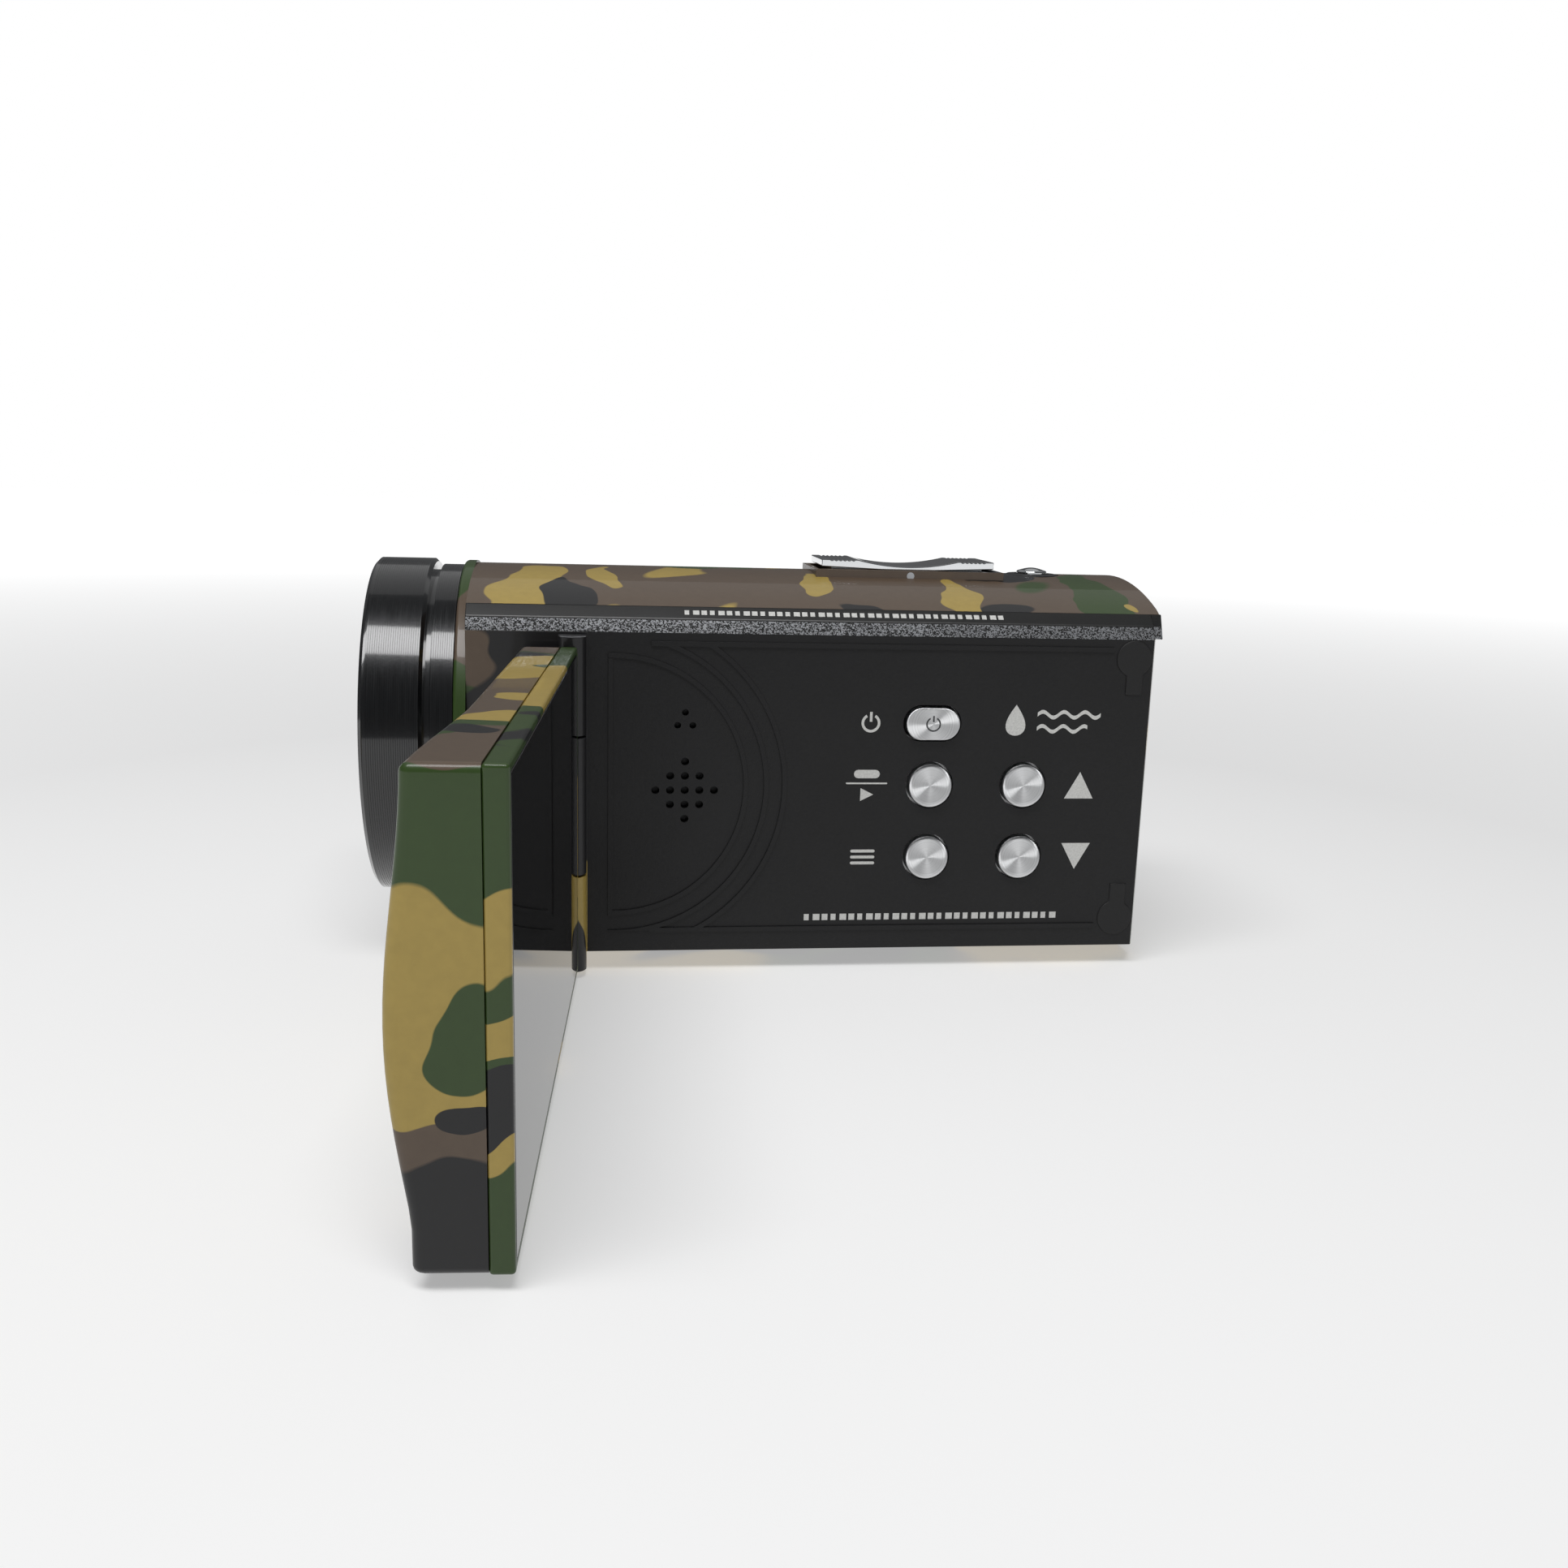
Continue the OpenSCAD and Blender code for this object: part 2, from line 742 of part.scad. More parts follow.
// saddle with a finger dip, knurled ends and a hub on the pin
module zoom_rocker() color(steel) {
    dip_r = (zoom_dip_half * zoom_dip_half + zoom_dip * zoom_dip) / (2 * zoom_dip);
    half = zoom_w / 2;
    x0 = zoom_x - zoom_len / 2;
    x1 = zoom_x + zoom_len / 2;
    difference() {
        union() {
            block([x0, -half, zoom_saddle_z], [x1, half, zoom_top]);
            for (x = [x0, x1 - zoom_lip_t])
                block([x, -half, zoom_lip_z], [x + zoom_lip_t, half, zoom_saddle_z]);
            block([zoom_x - zoom_hub_half, -half, zoom_hub_z],
                [zoom_x + zoom_hub_half, half, zoom_saddle_z + 0.1]);
        }
        translate([zoom_x, 0, zoom_top - zoom_dip + dip_r]) bar_y(-zoom_w, zoom_w, dip_r);
        at_zoom_pin() bar_y(-zoom_w, zoom_w, zoom_pin_r + pin_fit);
        // knurling across both ends
        for (s = [-1, 1], k = [0:5])
            translate([zoom_x + s * (knurl_from + knurl_pitch * k), 0, zoom_top + 0.1])
                bar_y(-zoom_w, zoom_w, knurl_r);
    }
}

module shutter_base() color(black) translate([shutter_x, 0, 0]) difference() {
    bar_z(shutter_base_low, case_h + 0.1, shutter_base_r);
    bar_z(shutter_low, case_h + 1, shutter_r + 0.1);
}

module shutter_button() color(steel) translate([shutter_x, 0, 0]) {
    bar_z(shutter_low, shutter_top, shutter_r);
    bar_z(shutter_low - 1, shutter_low, shutter_r + 1);
}

module record_button() color("#8c1f1f") at_record() {
    bar_x(record_flange_x, record_proud, record_r);
    bar_x(record_flange_x - flange_t, record_flange_x, record_r + flange_lip);
}

// switch on a small board that stands up from the end of the main board
module record_switch() color(board_green) {
    z0 = record_at[1] - record_switch_half;
    z1 = record_at[1] + record_switch_half;
    block([board_x[1] + 2.6, record_at[0] - record_switch_half, z0], [board_x[1] + 3.6, board_y, z1]);
    block([board_x[1], board_y - 1.2, z0], [board_x[1] + 2.6, board_y, z1]);
}

module main_board() color(board_green) {
    block([board_x[0], board_y - board_t, board_z[0]], [board_x[1], board_y, board_z[1]]);
}

module battery() color("#3f4a5c") {
    block([2, 2.5, 10], [58, 13.5, 45]);
}

module card_slot() color(steel) {
    block([37, board_y, 34], [57.2, board_y + 3.5, 45]);
}

module port_block() color(steel) {
    block([46, board_y, 12], [59.5, board_y + 6.9, 28]);
}

module rear_door() color(camo) {
    z0 = door_knuckle_z[0][1] + door_knuckle_gap;
    z1 = door_knuckle_z[1][0] - door_knuckle_gap;
    difference() {
        block([door_x, door_y0, door_z0], [door_x + door_t, door_y1, door_z0 + door_h]);
        // pocket for the latch, open towards the keeper
        block([door_x + latch_fit, door_y0 - 1, latch_z[0] - latch_fit],
            [door_x + door_t + 1, door_y0 + latch_pocket_len, latch_z[1] + latch_fit]);
        // reliefs for the knuckles on the case
        for (z = door_knuckle_z)
            block([door_x - 1, door_y1 - door_relief, z[0] - door_knuckle_gap],
                [door_x + door_t + 1, door_y1 + 1, z[1] + door_knuckle_gap]);
    }
    difference() {
        union() {
            translate([door_pin_x, door_pin_y, 0]) bar_z(z0, z1, door_knuckle_r);
            block([door_pin_x - 0.9, door_y1, z0], [door_pin_x + 0.9, door_pin_y, z1]);
        }
        translate([door_pin_x, door_pin_y, 0]) bar_z(z0 - 1, z1 + 1, door_pin_r + pin_fit);
    }
}

module door_seal() color("#2b2b2b") difference() {
    out = seal_fit + seal_w;
    block([case_rear + 0.05, bay_y[0] - out, bay_z[0] - out], [door_x, bay_y[1] + out, bay_z[1] + out]);
    block([case_rear - 1, bay_y[0] - seal_fit, bay_z[0] - seal_fit],
        [door_x + 1, bay_y[1] + seal_fit, bay_z[1] + seal_fit]);
}

module door_pin() color(steel) translate([door_pin_x, door_pin_y, 0]) {
    bar_z(door_knuckle_z[0][0], door_knuckle_z[1][1], door_pin_r);
}

module door_latch() color(black) {
    front_x = door_x + 2 * latch_fit;
    difference() {
        block([front_x, door_y0, latch_z[0]], [front_x + door_t, door_y0 + latch_len, latch_z[1]]);
        // step that leaves a thin tongue
        block([door_x + latch_tongue, door_y0 - 1, latch_z[0] - 1],
            [front_x + door_t + 1, door_y0 + 1.6, latch_z[1] + 1]);
        for (y = latch_grip_y) translate([front_x + door_t + 0.1, door_y0 + y, 0])
            bar_z(latch_z[0] - 1, latch_z[1] + 1, latch_grip_r);
    }
}

module tripod_insert() color("#b08d3e") difference() {
    union() {
        bar_z(0, wall, insert_r);
        bar_z(wall, insert_top, insert_flange_r);
    }
    bar_z(-1, socket_len, socket_r);
}

module case_screws() color(steel) at_screws() difference() {
    union() {
        bar_z(0.2, screw_head_t, screw_head_r);
        bar_z(screw_head_t, screw_boss_top - 0.4, screw_r);
    }
    for (a = [0, 90]) rotate([0, 0, a]) block([-1.3, -0.25, 0], [1.3, 0.25, 0.8]);
}

left_shell();
right_shell();
top_shell();
side_trim();
control_panel();
panel_bumpers();
front_collar();
lens_barrel();
lens_front_ring();
lens_bezel();
front_glass();
lens_cell();
lens_elements();
image_sensor();
hinge_pins();
hinge_block();
swivel_shaft();
swivel_bush();
screen_cover();
screen_bezel();
screen_glass();
lcd_module();
power_button();
mode_button();
up_button();
menu_button();
down_button();
button_mat();
button_board();
speaker();
microphone();
zoom_platform();
zoom_pin();
zoom_rocker();
shutter_base();
shutter_button();
record_button();
record_switch();
main_board();
battery();
card_slot();
port_block();
rear_door();
door_seal();
door_pin();
door_latch();
tripod_insert();
case_screws();
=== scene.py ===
"""Looks of a pocket camcorder with a flip-out screen, built around its CAD frame."""
import json
import math

import bmesh
import bpy
from mathutils import Matrix, Vector


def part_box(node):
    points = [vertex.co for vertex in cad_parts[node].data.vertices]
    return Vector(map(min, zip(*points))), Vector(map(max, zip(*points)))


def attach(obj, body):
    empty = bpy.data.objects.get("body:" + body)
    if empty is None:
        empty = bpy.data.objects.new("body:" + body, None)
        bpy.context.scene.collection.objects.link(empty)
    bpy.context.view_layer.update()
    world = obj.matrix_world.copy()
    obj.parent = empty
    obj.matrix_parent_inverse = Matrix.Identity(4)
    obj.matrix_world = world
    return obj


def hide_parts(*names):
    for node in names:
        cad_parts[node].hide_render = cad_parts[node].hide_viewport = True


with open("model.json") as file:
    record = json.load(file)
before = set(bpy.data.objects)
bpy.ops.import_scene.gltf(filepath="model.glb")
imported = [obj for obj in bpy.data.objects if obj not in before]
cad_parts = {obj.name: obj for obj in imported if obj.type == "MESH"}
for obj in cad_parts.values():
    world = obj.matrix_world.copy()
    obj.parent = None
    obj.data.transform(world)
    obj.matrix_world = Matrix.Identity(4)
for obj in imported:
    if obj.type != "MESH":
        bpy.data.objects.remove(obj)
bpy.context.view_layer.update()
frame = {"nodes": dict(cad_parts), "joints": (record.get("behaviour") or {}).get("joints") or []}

bl_info = {
    "name": "Camouflage camcorder",
    "version": (1, 0, 0),
    "blender": (4, 5, 0),
    "location": "View3D > Sidebar > Camcorder",
    "description": "Builds the visible pieces of a pocket camcorder around its CAD frame",
    "category": "Object",
}

MM = 0.001
SIDE = (0, -1, 0)
LENS = (-1, 0, 0)


# ---------------------------------------------------------------- places taken from the frame

def joint(name):
    """The record's own joint of that name."""
    return next(j for j in frame["joints"] if j["name"] == name)


def middle(node):
    """The middle of a CAD node's box."""
    low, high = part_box(node)
    return (low + high) / 2


LENS_AXIS = middle("lens_front_ring")
CASE_MIDDLE = Vector((middle("control_panel").x, 0.0, middle("control_panel").z))
PANEL_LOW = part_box("control_panel")[0]
PANEL_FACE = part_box("panel_bumpers")[0].y + 0.2 * MM
HINGE = Vector(joint("screen_hinge")["pos_m"])
SCREEN_OUT = Vector(joint("screen_swivel")["axis"]).normalized()
SCREEN_FACING = Vector((-SCREEN_OUT.y, SCREEN_OUT.x, 0.0))


def screen_place(out, facing, up):
    """A point of the open screen: along it from the hinge, out of its glass, and up."""
    return Vector((HINGE.x, HINGE.y, 0.0)) + SCREEN_OUT * out + SCREEN_FACING * facing + Vector((0, 0, up))


# ---------------------------------------------------------------- settings

class CaseSettings(bpy.types.PropertyGroup):
    """Sizes and colours of the moulded case."""

    tan: bpy.props.StringProperty(name="Tan", description="Lightest camouflage colour", default="#A68F49")
    green: bpy.props.StringProperty(name="Green", description="Leaf green of the camouflage",
                                    default="#30451C")
    brown: bpy.props.StringProperty(name="Brown", description="Earth brown of the camouflage",
                                    default="#594B3E")
    dark: bpy.props.StringProperty(name="Charcoal", description="Darkest camouflage colour",
                                   default="#151517")
    edge: bpy.props.FloatProperty(name="Edge radius",
                                  description="Rounding of the small edges of the mouldings",
                                  default=0.35 * MM, unit="LENGTH")
    rear_round: bpy.props.FloatProperty(name="Rear rounding",
                                        description="Rounding of the case where its rear begins",
                                        default=1.8 * MM, unit="LENGTH")


class PanelSettings(bpy.types.PropertyGroup):
    """Sizes and colours of the control panel."""

    black: bpy.props.StringProperty(name="Black", description="Colour of the textured panel",
                                    default="#171718")
    ink: bpy.props.StringProperty(name="Ink", description="Colour of the printed marks", default="#C9C9C6")
    grain: bpy.props.FloatProperty(name="Grain", description="Width of one grain of the moulded texture",
                                   default=0.22 * MM, unit="LENGTH")
    ink_height: bpy.props.FloatProperty(name="Ink height", description="Thickness of the printed marks",
                                        default=0.03 * MM, unit="LENGTH")


class LensSettings(bpy.types.PropertyGroup):
    """Sizes and colours of the lens."""

    anodising: bpy.props.StringProperty(name="Anodising", description="Colour of the turned rings",
                                        default="#17181A")
    groove: bpy.props.FloatProperty(name="Groove pitch", description="Distance between two turned grooves",
                                    default=0.32 * MM, unit="LENGTH")
    chamfer: bpy.props.FloatProperty(name="Chamfer", description="Chamfer of the ring's rims",
                                     default=0.5 * MM, unit="LENGTH")


class ScreenSettings(bpy.types.PropertyGroup):
    """Sizes of the screen housing."""

    edge_thickness: bpy.props.FloatProperty(name="Edge thickness",
                                            description="Housing thickness at its edges",
                                            default=8.0 * MM, unit="LENGTH")
    flare: bpy.props.FloatProperty(name="Flare", description="Extra thickness at the free end",
                                   default=1.6 * MM, unit="LENGTH")
    bulge: bpy.props.FloatProperty(name="Bulge", description="Height of the rounded middle of the cover",
                                   default=2.1 * MM, unit="LENGTH")
    corner: bpy.props.FloatProperty(name="Corner radius", description="Rounding of the cover's outer edges",
                                    default=0.9 * MM, unit="LENGTH")


class StageSettings(bpy.types.PropertyGroup):
    """Camera, floor and lights."""

    focal_length: bpy.props.FloatProperty(name="Focal length",
                                          description="Camera lens in millimetres on a 36 mm sensor",
                                          default=33.04)
    floor: bpy.props.StringProperty(name="Floor", description="Colour of the floor", default="#C8C8C8")
    key_power: bpy.props.FloatProperty(name="Key power",
                                       description="Power of the long soft box above the camera",
                                       default=3.0, unit="POWER")
    fill_power: bpy.props.FloatProperty(name="Overhead power", description="Power of the soft box overhead",
                                        default=0.5, unit="POWER")


# ---------------------------------------------------------------- small helpers

def linear(code):
    """Turns an sRGB hex colour into Blender's linear colour."""
    values = [int(code[i:i + 2], 16) / 255 for i in (1, 3, 5)]
    return [v / 12.92 if v <= 0.04045 else ((v + 0.055) / 1.055) ** 2.4 for v in values] + [1.0]


def add(tree, kind, inputs=None, **settings):
    """Adds a node, with its settings, and with each input set to a value or linked to an output."""
    node = tree.nodes.new(kind)
    for key, value in settings.items():
        setattr(node, key, value)
    for key, value in (inputs or {}).items():
        if isinstance(value, bpy.types.NodeSocket):
            tree.links.new(value, node.inputs[key])
        else:
            node.inputs[key].default_value = value
    return node


def new_material(name):
    """An empty material and its tree."""
    material = bpy.data.materials.new(name)
    material.use_nodes = True
    material.node_tree.nodes.clear()
    return material, material.node_tree


def close_material(tree, **inputs):
    """Ends a material in one Principled shader with these inputs."""
    named = {key.replace("_", " "): value for key, value in inputs.items()}
    shader = add(tree, "ShaderNodeBsdfPrincipled", named)
    add(tree, "ShaderNodeOutputMaterial", {"Surface": shader.outputs["BSDF"]})
    return shader


def hand_over(bm, name, body, materials, covers=(), sharp=32.0):
    """Makes a finished piece from a bmesh and joins it to the frame."""
    mesh = bpy.data.meshes.new(name)
    bm.to_mesh(mesh)
    bm.free()
    for material in materials:
        mesh.materials.append(material)
    mesh.polygons.foreach_set("use_smooth", [True] * len(mesh.polygons))
    mesh.set_sharp_from_angle(angle=math.radians(sharp))
    piece = bpy.data.objects.new(name, mesh)
    bpy.context.scene.collection.objects.link(piece)
    # flat faces keep their own shading, and only the rounded edges turn it
    weighted = piece.modifiers.new("Weighted normals", "WEIGHTED_NORMAL")
    weighted.keep_sharp = True
    if covers:
        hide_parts(*covers)
    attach(piece, body)
    return piece


def merged(node):
    """A copy of a CAD piece with its loose triangles merged into whole faces."""
    bm = bmesh.new()
    bm.from_mesh(frame["nodes"][node].data)
    bmesh.ops.remove_doubles(bm, verts=bm.verts, dist=0.002 * MM)
    bmesh.ops.dissolve_limit(bm, angle_limit=math.radians(0.5), verts=bm.verts, edges=bm.edges)
    return bm


def round_edges(bm, width, segments=2, least=28.0, test=None):
    """Rounds the edges that turn by more than least degrees and pass the test."""
    edges = [e for e in bm.edges if len(e.link_faces) == 2 and e.calc_face_angle() > math.radians(least)]
    if test:
        edges = [e for e in edges if test(e.verts[0].co, e.verts[1].co)]
    bmesh.ops.bevel(bm, geom=edges, offset=width, offset_type="OFFSET", segments=segments, profile=0.5,
                    affect="EDGES", clamp_overlap=True, material=-1)
    return bm


def spun(points, centre, axis, across, steps=128):
    """Turns a closed or open outline of (along, radius) points once round an axis."""
    bm = bmesh.new()
    along, across = Vector(axis), Vector(across)
    verts = [bm.verts.new(centre + along * a + across * r) for a, r in points]
    edges = [bm.edges.new(pair) for pair in zip(verts, verts[1:])]
    if points[0][1] > 0 and points[-1][1] > 0:
        edges.append(bm.edges.new((verts[-1], verts[0])))
    bmesh.ops.spin(bm, geom=verts + edges, cent=centre, axis=along, angle=2 * math.pi, steps=steps,
                   use_merge=True)
    bmesh.ops.remove_doubles(bm, verts=bm.verts, dist=0.001 * MM)
    bmesh.ops.recalc_face_normals(bm, faces=bm.faces)
    return bm


def paint(node, material):
    """Gives a carried-over CAD piece its material."""
    piece = frame["nodes"][node]
    piece.data.materials.clear()
    piece.data.materials.append(material)


# ---------------------------------------------------------------- materials

def laid_over(tree, below, above, share):
    """Colour of one layer over another, by the share of it that shows."""
    return add(tree, "ShaderNodeMix", {0: share, 6: below, 7: above}, data_type="RGBA").outputs[2]


def camouflage(case, name, ground, patches, shift=(0, 0, 0), blots=()):
    """Moulded ABS under camouflage film and clear lacquer: hard-edged patches that shine like wet paint.

    Each patch layer is (colour, patches to a metre, share left bare, lean). It lies over the one before, and
    lean is how much more of it there is for each metre along X, Y and Z from the middle of the case. A blot
    is one larger patch at its own place: (colour, middle, half sizes)."""
    material, tree = new_material(name)
    place = add(tree, "ShaderNodeTexCoord").outputs["Object"]
    moved = add(tree, "ShaderNodeMapping", {"Vector": place, "Location": shift}).outputs["Vector"]
    from_middle = add(tree, "ShaderNodeVectorMath", {0: place, 1: CASE_MIDDLE}, operation="SUBTRACT")
    below = linear(getattr(case, ground))
    for number, (colour, per_metre, least, lean) in enumerate(patches):
        apart = (1.7 * number, 2.3 * number, 3.1 * number)
        at = add(tree, "ShaderNodeMapping", {"Vector": moved, "Location": apart, "Scale": (0.75, 1.0, 1.0)})
        noise = add(tree, "ShaderNodeTexNoise", {"Vector": at.outputs["Vector"], "Scale": per_metre,
                                                 "Detail": 1.6, "Roughness": 0.42, "Distortion": 0.55})
        slope = add(tree, "ShaderNodeVectorMath", {0: from_middle.outputs["Vector"], 1: lean},
                    operation="DOT_PRODUCT")
        height = add(tree, "ShaderNodeMath", {0: noise.outputs["Fac"], 1: slope.outputs["Value"]},
                     operation="ADD")
        mask = add(tree, "ShaderNodeMapRange", {"Value": height.outputs["Value"], "From Min": least - 0.004,
                                                "From Max": least + 0.004})
        below = laid_over(tree, below, linear(getattr(case, colour)), mask.outputs["Result"])
    # waves some 11 mm long push the outlines of the blots in and out by up to 6 mm
    ripple = add(tree, "ShaderNodeTexNoise", {"Vector": moved, "Scale": 90, "Detail": 1.5, "Roughness": 0.5})
    push = 6 * MM
    sway = add(tree, "ShaderNodeVectorMath", {0: ripple.outputs["Color"], 1: (2 * push,) * 3, 2: place},
               operation="MULTIPLY_ADD")
    for colour, centre, half in blots:
        from_centre = centre + Vector((push, push, push))
        at = add(tree, "ShaderNodeMapping", {"Vector": sway.outputs["Vector"], "Location": from_centre,
                                             "Scale": half}, vector_type="TEXTURE")
        away = add(tree, "ShaderNodeVectorMath", {0: at.outputs["Vector"]}, operation="LENGTH")
        mask = add(tree, "ShaderNodeMapRange", {"Value": away.outputs["Value"], "From Min": 1.02,
                                                "From Max": 0.98})
        below = laid_over(tree, below, linear(getattr(case, colour)), mask.outputs["Result"])
    # the print is a little uneven, and the lacquer has a faint orange peel about 1.2 mm across
    print_noise = add(tree, "ShaderNodeTexNoise", {"Vector": place, "Scale": 900, "Detail": 2})
    uneven = add(tree, "ShaderNodeMapRange", {"Value": print_noise.outputs["Fac"], "To Min": 0.9,
                                              "To Max": 1.08})
    shade = add(tree, "ShaderNodeMix", {0: 1.0, 6: below, 7: uneven.outputs["Result"]}, data_type="RGBA",
                blend_type="MULTIPLY")
    peel = add(tree, "ShaderNodeTexNoise", {"Vector": place, "Scale": 800, "Detail": 1})
    bump = add(tree, "ShaderNodeBump", {"Height": peel.outputs["Fac"], "Strength": 0.05,
                                        "Distance": 0.05 * MM})
    close_material(tree, Base_Color=shade.outputs[2], Roughness=0.4, Specular_IOR_Level=0.3,
                   Coat_Weight=0.3, Coat_Roughness=0.05, Coat_Normal=bump.outputs["Normal"])
    return material


def textured(name, code, grain, roughness, strength=0.5, height=0.05, flakes=0.0, shine=None):
    """Spark-eroded or moulded plastic: a fine pebbled grain that breaks up the light.

    Flakes is the share of bright metal specks scattered in it."""
    material, tree = new_material(name)
    place = add(tree, "ShaderNodeTexCoord").outputs["Object"]
    pebbles = add(tree, "ShaderNodeTexNoise", {"Vector": place, "Scale": 1 / grain / 2, "Detail": 3,
                                               "Roughness": 0.6})
    bump = add(tree, "ShaderNodeBump", {"Height": pebbles.outputs["Fac"], "Strength": strength,
                                        "Distance": height * MM})
    patches = add(tree, "ShaderNodeTexNoise", {"Vector": place, "Scale": 90, "Detail": 4})
    wear = add(tree, "ShaderNodeMapRange", {"Value": patches.outputs["Fac"], "To Min": roughness - 0.06,
                                            "To Max": roughness + 0.08})
    dark = linear(code)
    tone = add(tree, "ShaderNodeMix", {0: pebbles.outputs["Fac"], 6: [v * 0.7 for v in dark[:3]] + [1.0],
                                       7: [v * 1.35 for v in dark[:3]] + [1.0]}, data_type="RGBA")
    base, metal = tone.outputs[2], None
    if flakes:
        # only the lower face carries the flakes, and the upper one is matt
        above = add(tree, "ShaderNodeSeparateXYZ", {"Vector": place}).outputs["Z"]
        edge = middle("side_trim").z
        lower = add(tree, "ShaderNodeMapRange", {"Value": above, "From Min": edge + 0.05 * MM,
                                                 "From Max": edge - 0.05 * MM})
        cells = add(tree, "ShaderNodeTexVoronoi", {"Vector": place, "Scale": 1 / grain})
        pick = add(tree, "ShaderNodeSeparateColor", {"Color": cells.outputs["Color"]})
        flake = add(tree, "ShaderNodeMapRange", {"Value": pick.outputs["Red"], "From Min": 1 - flakes,
                                                 "From Max": 1 - flakes * 0.4})
        share = add(tree, "ShaderNodeMath", {0: flake.outputs["Result"], 1: lower.outputs["Result"]},
                    operation="MULTIPLY")
        metal = share.outputs["Value"]
        base = laid_over(tree, base, linear("#C9CBCF"), metal)
    inputs = {"Base_Color": base, "Roughness": wear.outputs["Result"], "Normal": bump.outputs["Normal"]}
    if metal:
        inputs["Metallic"] = metal
    if shine is not None:
        inputs["Specular_IOR_Level"] = shine
    close_material(tree, **inputs)
    return material


def anodised(lens, name):
    """Black anodised aluminium, turned on a lathe: rings that stretch highlights across them."""
    material, tree = new_material(name)
    place = add(tree, "ShaderNodeTexCoord").outputs["Object"]
    at = add(tree, "ShaderNodeMapping", {"Vector": place, "Location": -LENS_AXIS})
    tangent = add(tree, "ShaderNodeVectorMath", {0: at.outputs["Vector"], 1: LENS},
                  operation="CROSS_PRODUCT")
    streaks = add(tree, "ShaderNodeMapping", {"Vector": place, "Scale": (1, 0.03, 0.03)})
    turned = add(tree, "ShaderNodeTexNoise", {"Vector": streaks.outputs["Vector"], "Scale": 6000,
                                              "Detail": 2})
    rough = add(tree, "ShaderNodeMapRange", {"Value": turned.outputs["Fac"], "To Min": 0.14, "To Max": 0.3})
    tone = add(tree, "ShaderNodeMapRange", {"Value": turned.outputs["Fac"], "To Min": 0.75, "To Max": 1.3})
    colour = add(tree, "ShaderNodeMix", {0: 1.0, 6: linear(lens.anodising), 7: tone.outputs["Result"]},
                 data_type="RGBA", blend_type="MULTIPLY")
    close_material(tree, Base_Color=colour.outputs[2], Metallic=0.5, Roughness=rough.outputs["Result"],
                   Anisotropic=0.6, Tangent=tangent.outputs["Vector"], Coat_Weight=1.0, Coat_Roughness=0.09)
    return material


def spun_metal(name, centre, code="#F0F1F2"):
    """Aluminium cap, faced on a lathe: fine rings about its centre catch the light as two bright fans."""
    material, tree = new_material(name)
    place = add(tree, "ShaderNodeTexCoord").outputs["Object"]
    at = add(tree, "ShaderNodeMapping", {"Vector": place, "Location": -centre}).outputs["Vector"]
    tangent = add(tree, "ShaderNodeVectorMath", {0: at, 1: SIDE}, operation="CROSS_PRODUCT")
    radius = add(tree, "ShaderNodeVectorMath", {0: at, 1: (1, 0, 1)}, operation="MULTIPLY")
    far = add(tree, "ShaderNodeVectorMath", {0: radius.outputs["Vector"]}, operation="LENGTH")
    # tool marks 0.2 mm apart, coarser than the real ones so that they show
    rings = add(tree, "ShaderNodeTexNoise", {"W": far.outputs["Value"], "Scale": 5000, "Detail": 3},
                noise_dimensions="1D")
    rough = add(tree, "ShaderNodeMapRange", {"Value": rings.outputs["Fac"], "To Min": 0.36, "To Max": 0.5})
    tone = add(tree, "ShaderNodeMapRange", {"Value": rings.outputs["Fac"], "To Min": 0.72, "To Max": 1.15})
    colour = add(tree, "ShaderNodeMix", {0: 1.0, 6: linear(code), 7: tone.outputs["Result"]},
                 data_type="RGBA", blend_type="MULTIPLY")
    close_material(tree, Base_Color=colour.outputs[2], Metallic=1.0, Roughness=rough.outputs["Result"],
                   Anisotropic=1.0, Tangent=tangent.outputs["Vector"])
    return material


def metal(name, code, roughness, scale=400, stretch=(1, 1, 1), spread=0.08):
    """Plain metal, plated, drawn or rolled: its roughness varies a little along the way it was made."""
    material, tree = new_material(name)
    place = add(tree, "ShaderNodeTexCoord").outputs["Object"]
    at = add(tree, "ShaderNodeMapping", {"Vector": place, "Scale": stretch})
    marks = add(tree, "ShaderNodeTexNoise", {"Vector": at.outputs["Vector"], "Scale": scale, "Detail": 4})
    least = max(0.02, roughness - spread)
    rough = add(tree, "ShaderNodeMapRange", {"Value": marks.outputs["Fac"], "To Min": least,
                                             "To Max": roughness + spread})
    tone = add(tree, "ShaderNodeMapRange", {"Value": marks.outputs["Fac"], "To Min": 0.86, "To Max": 1.08})
    colour = add(tree, "ShaderNodeMix", {0: 1.0, 6: linear(code), 7: tone.outputs["Result"]},
                 data_type="RGBA", blend_type="MULTIPLY")
    close_material(tree, Base_Color=colour.outputs[2], Metallic=1.0, Roughness=rough.outputs["Result"])
    return material


